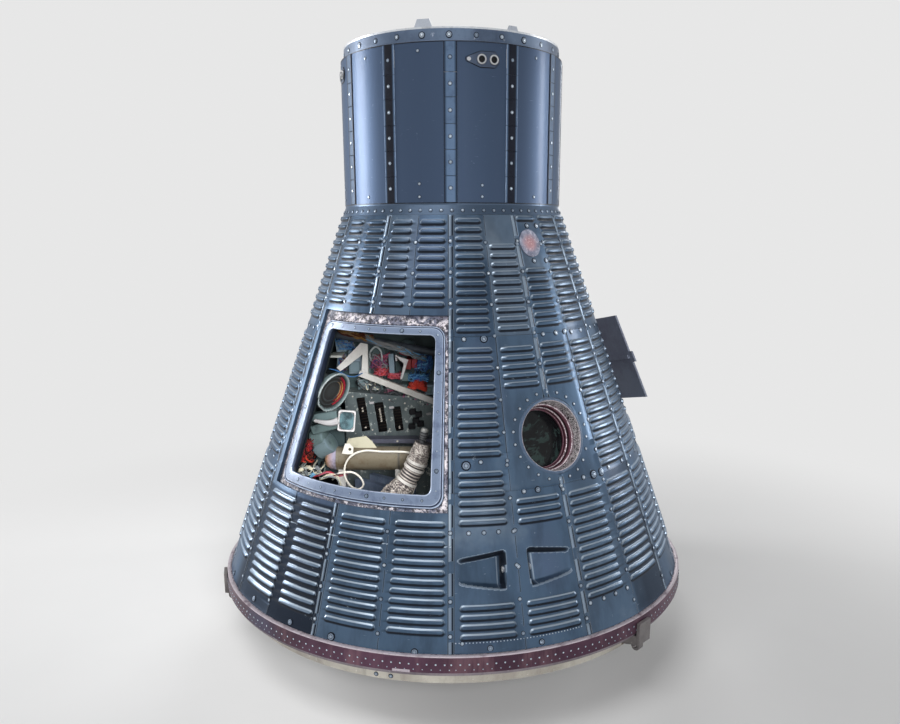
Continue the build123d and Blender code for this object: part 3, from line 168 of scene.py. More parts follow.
class Sheetwork:
    """Gathers patches of points and faces, with a tone and two relief values at each point, into one mesh."""

    LAYERS = ("tone", "relief", "lee")

    def __init__(self):
        self.points, self.faces, self.count = [], [], 0
        self.layers = {name: [] for name in self.LAYERS}

    def add(self, points, faces, tone=0.5, relief=0.0, lee=0.0):
        points = np.asarray(points, float).reshape(-1, 3)
        self.faces += [np.asarray(f) + self.count for f in faces if len(f)]
        self.points.append(points)
        for name, value in zip(self.LAYERS, (tone, relief, lee)):
            value = np.asarray(value, float)
            self.layers[name].append(np.full(len(points), float(value)) if value.ndim == 0 else value.reshape(-1))
        self.count += len(points)

    def grid(self, p, wrap_u=False, wrap_v=False, keep=None, away=None, toward=None, flip=False, **layers):
        """A patch p[u, v]: quads between neighbours, turned so that they face away from, or toward, a point."""
        nu, nv = p.shape[:2]
        i, j = np.meshgrid(np.arange(nu if wrap_u else nu - 1), np.arange(nv if wrap_v else nv - 1), indexing="ij")
        i1, j1 = (i + 1) % nu, (j + 1) % nv
        q = np.stack([i * nv + j, i1 * nv + j, i1 * nv + j1, i * nv + j1], -1)
        q = (q[keep] if keep is not None else q).reshape(-1, 4)
        flat = p.reshape(-1, 3)
        target = away if away is not None else toward
        if target is not None and len(q):
            a, b, c, d = (flat[q[:, k]] for k in range(4))
            facing = ((a + b + c + d) / 4 - np.asarray(target, float)) * np.cross(c - a, d - b)
            flip = (facing.sum() < 0) == (away is not None)
        self.add(flat, [q[:, ::-1] if flip else q], **layers)

    def fan(self, ring, centre=None, flip=False, **layers):
        """Closes a ring of points with triangles to its middle."""
        n = len(ring)
        middle = ring.mean(0) if centre is None else np.asarray(centre, float)
        k = np.arange(n)
        t = np.stack([k, (k + 1) % n, np.full(n, n)], -1)
        self.add(np.vstack([ring, middle]), [t[:, ::-1] if flip else t], **layers)

    def skirts(self, p, keep, depth, inward, **layers):
        """Walls that go in by depth from every edge between a kept cell and a missing one; the patch closes on itself in u."""
        nu, nv = p.shape[:2]
        deep = (p - inward * depth).reshape(-1, 3)
        index = np.arange(nu * nv).reshape(nu, nv)
        before = np.roll(keep, 1, axis=0)
        runs = []
        for mask, order in ((keep & ~before, 1), (before & ~keep, -1)):
            i, j = np.nonzero(mask)
            runs.append(np.stack([index[i, j + 1], index[i, j]][::order], -1))
        padded = np.pad(keep, ((0, 0), (1, 1)))
        under, over = padded[:, :-1], padded[:, 1:]
        for mask, order in ((over & ~under, 1), (under & ~over, -1)):
            i, j = np.nonzero(mask)
            runs.append(np.stack([index[i, j], index[(i + 1) % nu, j]][::order], -1))
        used, back = np.unique(np.concatenate(runs), return_inverse=True)
        back = back.reshape(-1, 2)
        n = len(used)
        q = np.stack([back[:, 1], back[:, 0], back[:, 0] + n, back[:, 1] + n], -1)
        self.add(np.vstack([p.reshape(-1, 3)[used], deep[used]]), [q], **layers)

    def finish(self, name, finish, slot, replaces=(), crease=38.0):
        """Makes the mesh and its object, which rides the capsule in a material slot and may stand for nodes of the frame."""
        points = np.concatenate(self.points)
        mesh = bpy.data.meshes.new(name)
        mesh.vertices.add(len(points))
        mesh.vertices.foreach_set("co", points.astype(np.float32).ravel())
        sizes = np.concatenate([np.full(len(f), f.shape[1]) for f in self.faces])
        corners = np.concatenate([f.ravel() for f in self.faces])
        mesh.loops.add(len(corners))
        mesh.loops.foreach_set("vertex_index", corners.astype(np.int32))
        mesh.polygons.add(len(sizes))
        mesh.polygons.foreach_set("loop_start", np.concatenate([[0], np.cumsum(sizes)[:-1]]).astype(np.int32))
        mesh.polygons.foreach_set("use_smooth", np.ones(len(sizes), bool))
        mesh.update(calc_edges=True)
        for layer, values in self.layers.items():
            mesh.attributes.new(layer, "FLOAT", "POINT").data.foreach_set("value", np.concatenate(values).astype(np.float32))
        mesh.set_sharp_from_angle(angle=math.radians(crease))
        piece = linked(name, mesh)
        mesh.materials.append(finish)
        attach(piece, HULL)
        if replaces:
            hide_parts(*replaces)


def smooth_path(points, per=8):
    """Catmull-Rom curve through the points, per steps to a span."""
    p = np.asarray(points, float)
    p = np.vstack([2 * p[0] - p[1], p, 2 * p[-1] - p[-2]])
    t = np.linspace(0, 1, per, endpoint=False)[None, :, None]
    a, b, c, d = (p[k:len(p) - 3 + k, None] for k in range(4))
    s = 0.5 * (2 * b + (c - a) * t + (2 * a - 5 * b + 4 * c - d) * t ** 2 + (3 * b - a - 3 * c + d) * t ** 3)
    return np.vstack([s.reshape(-1, 3), p[-2]])


def even_path(path, step):
    """The same path with points at equal distances along it."""
    s = np.concatenate([[0], np.cumsum(np.linalg.norm(np.diff(path, axis=0), axis=1))])
    t = np.linspace(0, s[-1], max(int(s[-1] / step), 3))
    return np.stack([np.interp(t, s, path[:, k]) for k in range(3)], -1)


def along(path, lean):
    """Direction of a path at each point, and two more square to it."""
    t = unit(np.gradient(path, axis=0))
    u = unit(np.cross(t, np.asarray(lean, float)))
    return t, u, np.cross(t, u)


def tube(work, path, radius, sides=8, lean=(0.31, 0.23, 0.92), **layers):
    """A round section carried along a path; the radius may vary from point to point."""
    path = np.asarray(path, float)
    radius = np.broadcast_to(np.asarray(radius, float), (len(path),))
    _, u, v = along(path, lean)
    a = circle(sides)
    ring = path[:, None] + radius[:, None, None] * (np.cos(a)[None, :, None] * u[:, None] + np.sin(a)[None, :, None] * v[:, None])
    work.grid(ring, wrap_v=True, flip=True, **layers)
    work.fan(ring[0], path[0], flip=True, **layers)
    work.fan(ring[-1], path[-1], **layers)


def lathe(work, profile, place, sides=48, tones=None, wave=None, flip=False, tone=0.5):
    """A profile of (radius, height) turned about the normal of a place (origin, x, y, normal)."""
    o, x, y, n = floats(*place)
    profile = np.asarray(profile, float)
    a = circle(sides)[None, :]
    r, h = profile[:, :1] + 0 * a, profile[:, 1:2] + 0 * a
    if wave is not None:
        r, h = wave(r, h, a)
    p = o + r[..., None] * (np.cos(a)[..., None] * x + np.sin(a)[..., None] * y) + h[..., None] * n
    layer = np.repeat(tones, sides) if tones is not None else tone
    work.grid(p, wrap_v=True, tone=layer, flip=not flip)
    return p


def head_form(profile, sides):
    """Points and faces of a small turned head: rings of a (radius, height) profile and a closing tip."""
    profile = np.asarray(profile, float)
    a = circle(sides)
    rings = np.stack([profile[:, :1] * np.cos(a), profile[:, :1] * np.sin(a), profile[:, 1:] * np.ones(sides)], -1)
    k = np.arange(sides)
    quads = [np.stack([m * sides + k, m * sides + (k + 1) % sides, (m + 1) * sides + (k + 1) % sides, (m + 1) * sides + k], -1)
             for m in range(len(profile) - 1)]
    last = (len(profile) - 1) * sides
    tris = np.stack([last + k, last + (k + 1) % sides, np.full(sides, last + sides)], -1)
    heights = np.append(np.repeat(profile[:, 1], sides), profile[-1, 1])
    return np.vstack([rings.reshape(-1, 3), [[0, 0, profile[-1, 1]]]]), np.vstack(quads), tris, heights / max(heights.max(), 1e-6)


SCREW = head_form([(1.38, -0.15), (1.38, 0.04), (1.0, 0.05), (0.96, 0.26), (0.7, 0.3), (0.62, 0.12), (0.52, 0.12), (0.44, 0.36),
        (0.22, 0.42)], 10)
RIVET = head_form([(1.0, -0.2), (0.92, 0.28), (0.6, 0.55)], 8)


def repeat(work, form, place, size, tone=0.5):
    """Copies of a small form at many places at once; relief runs from its foot to its top."""
    points, quads, tris, height = form
    origin, x, y, normal = (np.asarray(v, float).reshape(-1, 3) for v in np.broadcast_arrays(*place))
    n = len(origin)
    size = np.broadcast_to(np.asarray(size, float), (n,))[:, None, None]
    p = origin[:, None] + size * (points[None, :, :1] * x[:, None] + points[None, :, 1:2] * y[:, None] + points[None, :,
            2:] * normal[:, None])
    step = (np.arange(n) * len(points))[:, None, None]
    work.add(p, [(quads[None] + step).reshape(-1, 4), (tris[None] + step).reshape(-1, 3)],
             tone=np.repeat(np.broadcast_to(np.asarray(tone, float), (n,)), len(points)), relief=np.tile(height, n))


def at_depth(place, loop, depth):
    """A flat loop laid out in a place's x and y, at a distance along its normal."""
    o, x, y, n = place
    return o + loop[:, :1] * x + loop[:, 1:] * y + depth * n


def slab(work, outline, lower, upper, place, bevel=0.0015, **layers):
    """A flat plate: a closed outline in a place's x and y, from lower to upper along its normal, with bevelled edges."""
    place = floats(*place)
    q = np.asarray(outline, float)
    if np.sum(q[:, 0] * np.roll(q[:, 1], -1) - np.roll(q[:, 0], -1) * q[:, 1]) < 0:
        q = q[::-1]
    edge = unit(np.roll(q, -1, 0) - np.roll(q, 1, 0))
    inner = q - bevel * np.stack([edge[:, 1], -edge[:, 0]], -1)
    cut = min(bevel, (upper - lower) / 3)
    levels = [(inner, lower), (q, lower + cut), (q, upper - cut), (inner, upper)]
    p = np.stack([at_depth(place, loop, h) for loop, h in levels])
    work.grid(p, wrap_v=True, away=p.mean((0, 1)), **layers)
    turned = np.dot(np.cross(*place[1:3]), place[3]) < 0
    work.fan(p[-1], flip=turned, **layers)
    work.fan(p[0], flip=not turned, **layers)


def rounded(width, height, radius, steps=5):
    """Outline of a rectangle with round corners, counter-clockwise."""
    a = np.linspace(0, np.pi / 2, steps)
    corners = [(1, 1, 0), (-1, 1, 1), (-1, -1, 2), (1, -1, 3)]
    return np.vstack([np.stack([sx * (width / 2 - radius) + radius * np.cos(a + q * np.pi / 2),
                                sy * (height / 2 - radius) + radius * np.sin(a + q * np.pi / 2)], -1) for sx, sy, q in corners])


def ripple(a, b, seed):
    """A calm uneven field between about -1 and 1: a few sine waves of unrelated direction."""
    rng = np.random.default_rng(seed)
    total = 0.0
    for k in range(7):
        f, g, s = rng.uniform(-1, 1) * (k + 1.5), rng.uniform(-1, 1) * (k + 1.5), rng.uniform(0, 6.28)
        total = total + np.sin(a * f + b * g + s) / (k + 2)
    return total / 1.6


def closed_cells(az, z, holes):
    """True for the cells of a grid of azimuths and heights, closed round the axis, whose middle lies in none of the holes."""
    after = np.vstack([az[1:], az[:1] + 360.0])
    a, h = (az[:, :-1] + after[:, 1:]) / 2, (z[:, :-1] + z[:, 1:]) / 2
    keep = np.ones(a.shape, bool)
    for a0, a1, z0, z1 in holes:
        keep &= ~((a > a0) & (a < a1) & (h > z0) & (h < z1))
    return keep


def port_patch(az, radius, count, steps):
    """Azimuths, heights and shares of rings that pass from a circle round a porthole to the rectangle left in the grid."""
    t = circle(count)
    reach = np.maximum(np.abs(np.cos(t)), np.abs(np.sin(t)))
    s = np.linspace(0, 1, steps)[:, None]
    ring_az = np.degrees(np.arctan2(radius * np.cos(t), cone_r(PORT_Z) - radius * np.sin(t) * SIN))
    ring_z, box_z = PORT_Z + radius * np.sin(t) * COS, PORT_Z + np.sin(t) / reach * (PORT_CELL[3] - PORT_Z)
    return az + ring_az * (1 - s) + np.cos(t) / reach * PORT_CELL[1] * s, ring_z * (1 - s) + box_z * s, s


def window_loop(window, corner):
    """Closed loop of azimuths and heights round a window in the cone: straight sides joined by quarter rounds."""
    a0, a1, z0, z1 = window
    t = np.linspace(0, np.pi / 2, 9)
    arcs = []
    for edge_a, edge_z, sx, sz, q in ((a1, z1, 1, 1, 0), (a0, z1, -1, 1, 1), (a0, z0, -1, -1, 2), (a1, z0, 1, -1, 3)):
        c, s = np.cos(t + q * np.pi / 2), np.sin(t + q * np.pi / 2)
        z = edge_z + COS * corner * (s - sz)
        arcs.append(np.stack([edge_a + np.degrees(corner * (c - sx) / cone_r(z)), z], -1))
    f = np.linspace(0, 1, 20)[1:-1, None]
    loop = []
    for k in range(4):
        loop += [arcs[k], arcs[k][-1] * (1 - f) + arcs[(k + 1) % 4][0] * f]
    return np.vstack(loop)


def loop_band(work, outer, inner, profile, close=False, rough=0.0, seed=1):
    """A section carried round a window: each of its points is (share of the way from outer to inner loop, depth, tone)."""
    rings, tones = [], []
    for share, depth, tone in profile:
        loop = outer * (1 - share) + inner * share
        wobble = rough * ripple(loop[:, 0] * 1.7, loop[:, 1] * 60 + share * 3, seed)
        rings.append(on_cone(loop[:, 0], loop[:, 1], wobble - depth))
        tones.append(np.full(len(loop), tone))
    work.grid(np.stack(rings), wrap_u=close, wrap_v=True, away=AXIS_POINT, tone=np.concatenate(tones))


# ---------- finishes
def rgb(r, g, b):
    """A colour given in display values from 0 to 255."""
    c = np.array([r, g, b]) / 255.0
    return tuple(float(v) for v in np.where(c <= 0.04045, c / 12.92, ((c + 0.055) / 1.055) ** 2.4)) + (1.0,)


class Field:
    """A shader socket that takes part in ordinary sums."""

    def __init__(self, finish, socket):
        self.finish, self.socket = finish, socket

    def math(self, operation, a, b=0.0, clamp=False):
        return self.finish.node("ShaderNodeMath", {0: a, 1: b}, operation=operation, use_clamp=clamp)

    def __add__(self, other):
        return self.math("ADD", self, other)

    def __mul__(self, other):
        return self.math("MULTIPLY", self, other)

    def __sub__(self, other):
        return self.math("SUBTRACT", self, other)

    def __rsub__(self, other):
        return self.math("SUBTRACT", other, self)

    __radd__ = __add__
    __rmul__ = __mul__

    def clamped(self):
        return self.math("ADD", self, 0.0, True)

    def within(self, low, high):
        """0 at low, 1 at high, smooth between."""
        return self.finish.node("ShaderNodeMapRange", {0: self, 1: low, 2: high, 3: 0.0, 4: 1.0}, interpolation_type="SMOOTHSTEP")


class Finish:
    """Nodes of a new material, or of another owner; patterns read object coordinates and the mesh's own layers."""

    made = {}

    def __init__(self, name, owner=None):
        self.owner = owner or bpy.data.materials.new(name)
        self.owner.use_nodes = True
        self.tree = self.owner.node_tree
        self.tree.nodes.clear()
        self.place = self.node("ShaderNodeTexCoord", out="Object")

    def node(self, kind, inputs=None, out=0, **settings):
        n = self.tree.nodes.new(kind)
        for key, value in settings.items():
            if key == "stops":
                ramp = n.color_ramp
                ramp.interpolation = "LINEAR"
                while len(ramp.elements) < len(value):
                    ramp.elements.new(0.5)
                for element, (at, colour) in zip(ramp.elements, value):
                    element.position, element.color = at, colour
            else:
                setattr(n, key, value)
        for key, value in (inputs or {}).items():
            if isinstance(value, Field):
                self.tree.links.new(value.socket, n.inputs[key])
            else:
                n.inputs[key].default_value = value
        return Field(self, n.outputs[out]) if len(n.outputs) else n

    def height(self, place):
        return self.node("ShaderNodeSeparateXYZ", {0: place}, out=2)

    def noise(self, scale, detail=3.0, roughness=0.6, stretch=None, distortion=0.0):
        place = self.place
        if stretch:
            place = self.node("ShaderNodeVectorMath", {0: place, 1: stretch}, operation="MULTIPLY")
        return self.node("ShaderNodeTexNoise", {"Vector": place, "Scale": scale, "Detail": detail, "Roughness": roughness,
                                                "Distortion": distortion})

    def edges(self, scale):
        """Distance to the nearest border between cells."""
        return self.node("ShaderNodeTexVoronoi", {"Vector": self.place, "Scale": scale}, feature="DISTANCE_TO_EDGE")

    def layer(self, name):
        return self.node("ShaderNodeAttribute", out="Fac", attribute_name=name)

    def ramp(self, factor, stops):
        stops = [(at, colour if len(colour) == 4 else rgb(*colour)) for at, colour in stops]
        return self.node("ShaderNodeValToRGB", {0: factor}, stops=stops)

    def mix(self, factor, a, b):
        return self.node("ShaderNodeMix", {0: factor, 6: a, 7: b}, out=2, data_type="RGBA")

    def over(self, factor, colour):
        """Lays a colour over what the finish shows so far."""
        self.colour = self.mix(factor, self.colour, colour)

    def bump(self, height, strength=0.3, distance=0.002):
        return self.node("ShaderNodeBump", {"Strength": strength, "Distance": distance, "Height": height})

    def surface(self, **sockets):
        sockets = {k.replace("_", " "): v for k, v in sockets.items()}
        shader = self.node("ShaderNodeBsdfPrincipled", {"Base Color": self.colour, **sockets})
        self.node("ShaderNodeOutputMaterial", {"Surface": shader})
        return self.owner

    def seen(self):
        """1 for the rays that the camera, a shiny surface or a clear one sends, 0 for the others."""
        kinds = ("Camera", "Glossy", "Transmission")
        camera, glossy, clear = (self.node("ShaderNodeLightPath", out="Is %s Ray" % kind) for kind in kinds)
        return (camera + glossy + clear).clamped()


def made_once(maker):
    """Each finish is made once and then shared."""
    def get(name, *args, **kwargs):
        if name not in Finish.made:
            Finish.made[name] = maker(Finish(name), *args, **kwargs)
        return Finish.made[name]
    return get


@made_once
def oxidised_skin(f, base, dark, light, violet, depth=1.0, rough=0.22):
    """Heat-treated alloy: blue-grey oxide with upright smears and faint violet tints, black under each bead and rubbed bright above it."""
    smear = f.noise(1, 4, stretch=(11, 11, 1.3))
    cloud = f.noise(2.1, 5, 0.62)
    fine = f.noise(110)
    tint = f.noise(2.6, 2, 0.5, stretch=(1, 1, 0.5))
    tone, relief, lee = f.layer("tone"), f.layer("relief"), f.layer("lee")
    # flank, foot and shade place the painted highlights and painted shade of each bead, from the relief and
    # painted-light layers
    flank = relief.within(0.06, 0.26) * (1.0 - relief.within(0.78, 1.0))
    foot = relief.within(0.0, 0.06) * (1.0 - relief.within(0.08, 0.22))
    shade = ((1.0 - relief.within(0.72, 1.0)) * (0.0 - lee) * 1.7 * depth).clamped()
    f.colour = f.mix(smear.within(0.4, 0.66) * 0.4, base, dark)
    f.over(tint.within(0.56, 0.78) * 0.35, violet)
    f.over((cloud.within(0.54, 0.76) * 0.22).clamped(), light)
    # the tone layer: random panel tone, and on some panels painted reflection, dark on the flats and light on the bead
    # tops
    f.over(((0.5 - tone) * 1.9).clamped(), dark)
    f.over(((tone - 0.5) * 1.1).clamped(), light)
    # painted highlight along each bead's foot, fading out on its shaded side
    f.over((foot * (1.0 + lee).clamped() * (0.2 + cloud * 0.4) * depth).clamped(), light)
    # painted shade: black under each bead, in the scoops, under scoop rims and along seams and ridges
    f.over(shade, rgb(8, 12, 20))
    # painted highlight on each bead's upper flank and on the lit sides of ridges and scoop rims; the light scratches
    # come in here too
    f.over((flank * lee * (0.75 + cloud * 0.7) * depth).clamped(), light)
    scratch = f.noise(1, 2, 0.7, stretch=(24, 24, 200))
    f.over(scratch.within(0.7, 0.79) * 0.22, light)
    speck = f.noise(46, 5, 0.75)
    f.over(speck.within(0.66, 0.72) * 0.3, light)
    normal = f.bump(fine * 0.5 + smear, 0.08, 0.001)
    return f.surface(Metallic=0.68 - shade * 0.6, Roughness=rough + cloud * 0.14 + fine * 0.1 + shade * 0.35, Normal=normal,
                     Specular_Tint=(0.45, 0.55, 0.7, 1.0), Coat_Weight=0.15, Coat_Roughness=0.2)


@made_once
def worn_metal(f, base, dark, light, metal, rough, grain, wear):
    """Painted or bare metal with clouded grime, upright runs, speckle and rubbed patches."""
    cloud = f.noise(4.5, 5, 0.62)
    runs = f.noise(1, 4, stretch=(34, 34, 4))
    fine = f.noise(grain)
    spots = f.noise(42, 6, 0.72)
    f.colour = f.mix(cloud.within(0.38, 0.66) * 0.65, base, dark)
    f.over(runs.within(0.52, 0.72) * 0.4, dark)
    f.over((spots.within(0.66 - wear * 0.16, 0.71 - wear * 0.14) * (0.25 + wear)).clamped(), light)
    f.over(fine.within(0.52, 0.75) * 0.3, dark)
    return f.surface(Metallic=metal, Roughness=rough + cloud * 0.18 + fine * 0.08,
                     Normal=f.bump(fine + spots * 0.7, 0.22, 0.0008))


@made_once
def toned_paint(f, stops, metal=0.1, rough=0.4, grain=160.0, grime=rgb(34, 34, 36), dirt=0.5, crinkle=0.0, shine=0.5):
    """Finish whose colour runs along the piece's own tone layer, under speckled grime and worn crests."""
    cloud = f.noise(16, 5, 0.65)
    fine = f.noise(grain)
    f.colour = f.ramp(f.layer("tone") + (fine - 0.5) * 0.03, stops)
    f.over(cloud.within(0.5, 0.74) * dirt, grime)
    f.over(fine.within(0.56, 0.72) * dirt * 0.5, grime)
    height = fine + cloud
    if crinkle:
        height = height + f.edges(44.0).within(0.0, 0.22) * crinkle
    return f.surface(Metallic=metal, Roughness=rough + cloud * 0.2, Specular_IOR_Level=shine,
                     Normal=f.bump(height, 0.3 + 0.3 * min(crinkle, 1.0), 0.0012))


@made_once
def scuffed_edge(f):
    """Rubbed bare margin: dull blue-grey with chalky white and rosy scuffs and black sealant grit."""
    tone = f.layer("tone")
    scuff = f.noise(30, 6, 0.75, distortion=0.7)
    grit = f.noise(95, 5, 0.7)
    cloud = f.noise(6, 4)
    f.colour = f.mix(cloud.within(0.35, 0.65), rgb(72, 80, 98), rgb(108, 104, 116))
    f.over((scuff.within(0.46, 0.58) * (0.25 + tone * 0.75)).clamped(), rgb(206, 200, 204))
    f.over(grit.within(0.46, 0.58) * 0.9, rgb(26, 26, 34))
    # painted shade where the tone is low, along the margin's outer and inner edges
    f.over(((0.5 - tone) * 1.8).clamped(), rgb(30, 32, 44))
    return f.surface(Metallic=0.15, Roughness=0.42 + grit * 0.3, Normal=f.bump(scuff + grit, 0.5, 0.0018))


@made_once
def crinkled_foil(f):
    """Rose and grey foil along the tone layer, with bright crumpled facets and dark creases on its wall."""
    tone = f.layer("tone")
    facets = f.noise(74, 4, 0.62, distortion=2.4)
    fine = f.noise(150)
    wall = tone.within(0.5, 0.56) * (1.0 - tone.within(0.7, 0.8))
    f.colour = f.ramp(tone, ((0, (8, 8, 10)), (0.22, (52, 26, 34)), (0.42, (128, 84, 98)), (0.62, (88, 78, 84)), (0.88, (200, 192, 196)),
            (0.94, (80, 88, 104)), (1, (66, 84, 106))))
    # painted highlights on the foil wall's facets, then painted shade in its creases
    f.over(facets.within(0.43, 0.46) * (1.0 - facets.within(0.5, 0.53)) * wall, rgb(240, 236, 238))
    f.over(facets.within(0.56, 0.59) * wall * 0.85, rgb(26, 20, 26))
    f.over(fine.within(0.58, 0.7) * 0.4, rgb(40, 36, 44))
    return f.surface(Metallic=0.45, Roughness=0.2 + fine * 0.3, Normal=f.bump(facets + fine * 0.3, 0.9, 0.003))


@made_once
def fastener_metal(f):
    """Screw and rivet heads: dark in the ring groove, bright on the crown."""
    relief = f.layer("relief")
    fine = f.noise(260)
    f.colour = f.mix(relief.within(0.12, 0.6), rgb(18, 24, 36), rgb(116, 132, 152))
    f.over(relief.within(0.55, 0.8) * (0.15 + f.layer("tone") * 0.85), rgb(212, 222, 232))
    return f.surface(Metallic=0.7, Roughness=0.26 + fine * 0.2, Normal=f.bump(fine, 0.15, 0.0004))


@made_once
def charred_shield(f):
    """Scorched ablation resin: brown-black, flaking in cells, with pale ash streaks."""
    cloud = f.noise(3, 6, 0.65)
    flake = f.edges(34.0)
    fine = f.noise(150, 4)
    ash = f.noise(7, 6, 0.7, distortion=0.6)
    f.colour = f.mix(cloud.within(0.35, 0.65), rgb(62, 52, 46), rgb(28, 24, 23))
    f.over(ash.within(0.54, 0.7) * 0.65, rgb(128, 112, 98))
    f.over((1.0 - flake.within(0.0, 0.05)) * 0.5, rgb(16, 14, 14))
    return f.surface(Roughness=0.76 + fine * 0.15, Normal=f.bump(flake.within(0.0, 0.06) + fine * 0.3 + cloud, 0.5, 0.003))


@made_once
def maroon_oxide(f, base, dark, rose):
    """Heat-tinted maroon oxide with bluish clouds and a rubbed upper edge."""
    cloud = f.noise(2.6, 5)
    runs = f.noise(1, 4, stretch=(16, 16, 2))
    fine = f.noise(120)
    f.colour = f.mix(cloud.within(0.35, 0.62), base, dark)
    f.over(runs.within(0.5, 0.72) * 0.55, rose)
    f.over(f.noise(5, 2, 0.55).within(0.58, 0.76) * 0.6, rgb(66, 70, 96))
    # a lighter band along the upper edge
    edge = f.height(f.place).within(0.3262, 0.3302)
    f.over(edge * fine.within(0.3, 0.6) * 0.8, rgb(200, 190, 196))
    return f.surface(Metallic=0.5, Roughness=0.34 + fine * 0.2, Normal=f.bump(fine + runs, 0.2, 0.0008))


@made_once
def dark_glass(f):
    """Thick tinted glass with faint haze."""
    haze = f.noise(18, 4)
    swirl = f.noise(9, 5, 0.7, distortion=1.2)
    f.colour = f.mix(haze.within(0.45, 0.7), rgb(6, 7, 9), rgb(16, 20, 22))
    f.over(swirl.within(0.52, 0.6) * (1.0 - swirl.within(0.6, 0.68)) * 0.8, rgb(34, 48, 46))
    return f.surface(Roughness=0.1 + haze * 0.1, Specular_IOR_Level=0.22)


@made_once
def mirror_glass(f):
    """Pale blue-green looking glass with soft cloudy patches."""
    cloud = f.noise(22, 4)
    f.colour = f.mix(cloud.within(0.4, 0.65), rgb(104, 136, 144), rgb(52, 70, 76))
    return f.surface(Roughness=0.08 + cloud * 0.12, Metallic=0.3)


@made_once
def patched_cover(f):
    """Grey-lilac patch with a rosy, scorched middle and a dark outline, centred on the oval plate."""
    low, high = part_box("oval_cover")
    middle = tuple((a + b) / 2 for a, b in zip(low, high))
    away = f.node("ShaderNodeVectorMath", {0: f.place, 1: middle}, out="Value", operation="DISTANCE")
    crumple, fine = f.noise(38, 5, 0.7, distortion=0.8), f.noise(120)
    rose = 1.0 - (away + (crumple - 0.5) * 0.05).within(0.012, 0.04)
    f.colour = f.mix(crumple.within(0.35, 0.65), rgb(116, 122, 138), rgb(80, 82, 98))
    f.over(rose * 0.55, rgb(158, 104, 98))
    f.over(fine.within(0.55, 0.7) * 0.35, rgb(208, 204, 208))
    return f.surface(Roughness=0.46 + crumple * 0.2, Normal=f.bump(crumple + fine * 0.3, 0.5, 0.002))


@made_once
def studio_paper(f, colour, far):
    """Plain pale floor with a hardly visible grain, that passes into the colour of the surroundings far from the object."""
    grain = f.noise(3, 2, 0.5)
    deeper = tuple(0.96 * c for c in colour[:3]) + (1.0,)
    near = f.node("ShaderNodeBsdfPrincipled", {"Base Color": f.mix(grain, colour, deeper), "Roughness": 0.92})
    glow = f.node("ShaderNodeEmission", {"Color": far, "Strength": 1.0})
    away = f.node("ShaderNodeVectorMath", {0: f.place}, out="Value", operation="LENGTH")
    mixed = f.node("ShaderNodeMixShader", {0: f.seen() * away.within(1.1, 3.6), 1: near, 2: glow})
    f.node("ShaderNodeOutputMaterial", {"Surface": mixed})
    return f.owner


METALS = {  # finish of each material slot: base, dark, light, metallic, roughness, grain, wear
    "bright_band": ((188, 184, 174), (132, 126, 118), (226, 222, 214), 0.45, 0.32, 160, 0.3),
    "dark_frame": ((40, 40, 44), (20, 20, 23), (86, 84, 84), 0.5, 0.5, 120, 0.1),
    "lip_metal": ((136, 128, 134), (84, 76, 84), (206, 204, 206), 0.6, 0.32, 150, 0.3),
    "fitting_metal": ((128, 124, 124), (74, 70, 72), (190, 188, 186), 0.65, 0.34, 150, 0.2),
    "nozzle": ((88, 102, 124), (46, 54, 70), (168, 176, 188), 0.6, 0.3, 150, 0.15),
    "door_grey": ((110, 117, 132), (88, 88, 106), (164, 168, 176), 0.25, 0.42, 110, 0.0),
    "well_metal": ((70, 72, 76), (30, 30, 34), (120, 120, 122), 0.5, 0.45, 110, 0.2),
    "black_metal": ((40, 40, 44), (22, 22, 25), (150, 150, 150), 0.4, 0.34, 150, 0.1),
    "hinge_metal": ((124, 126, 132), (66, 68, 76), (196, 196, 200), 0.7, 0.3, 160, 0.2),
    "ring_metal": ((88, 104, 126), (52, 64, 84), (196, 202, 212), 0.5, 0.3, 120, 0.2),
    "tab_metal": ((172, 178, 188), (118, 124, 136), (220, 222, 226), 0.65, 0.3, 160, 0.2),
    "inner_metal": ((88, 92, 92), (46, 48, 50), (132, 134, 132), 0.4, 0.42, 110, 0.2),
    "floor_metal": ((70, 76, 82), (36, 40, 44), (112, 116, 118), 0.4, 0.45, 90, 0.3),
    "console_grey": ((104, 114, 115), (60, 68, 72), (198, 202, 196), 0.1, 0.5, 240, 0.55),
    "ledge_grey": ((128, 130, 146), (74, 76, 90), (186, 186, 196), 0.3, 0.4, 140, 0.35),
    "white_paint": ((212, 210, 206), (156, 152, 146), (96, 92, 88), 0.05, 0.4, 120, 0.12),
    "duct_grey": ((92, 100, 110), (50, 54, 62), (150, 156, 162), 0.3, 0.4, 120, 0.2),
    "rail_blue": ((150, 166, 192), (88, 102, 130), (196, 206, 220), 0.4, 0.36, 140, 0.3),
}


def nozzle_metal():
    return toned_paint("nozzle_mouth", ((0, (14, 14, 16)), (0.4, (92, 98, 108)), (1, (196, 196, 196))), 0.6, 0.28)


def metal(slot):
    base, dark, light, *rest = METALS[slot]
    return worn_metal(slot, rgb(*base), rgb(*dark), rgb(*light), *rest)


# ---------- the user's sizes and colours
def length(name, description, default):
    return bpy.props.FloatProperty(name=name, description=description, default=default, unit="LENGTH")


def tint(name, description, *default):
    return bpy.props.FloatVectorProperty(name=name, description=description, size=4, subtype="COLOR", default=rgb(*default))


def watts(name, lamp, default):
    return bpy.props.FloatProperty(name=name, description="Power of the %s, in watts" % lamp, default=default)


class SkinSettings(bpy.types.PropertyGroup):
    """Sizes of the pressed skin"""
    bead_height: length("Bead height", "How far a bead stands out of the skin", 0.0058)
    bead_half_width: length("Bead half width", "From a bead's middle line to its foot", 0.0106)
    batten_height: length("Batten height", "Thickness of the cover strips on the seams", 0.0012)
    screw_radius: length("Screw radius", "Radius of the common skin screws", 0.0062)
    rivet_radius: length("Rivet radius", "Radius of the rivets on the aft ring", 0.0034)


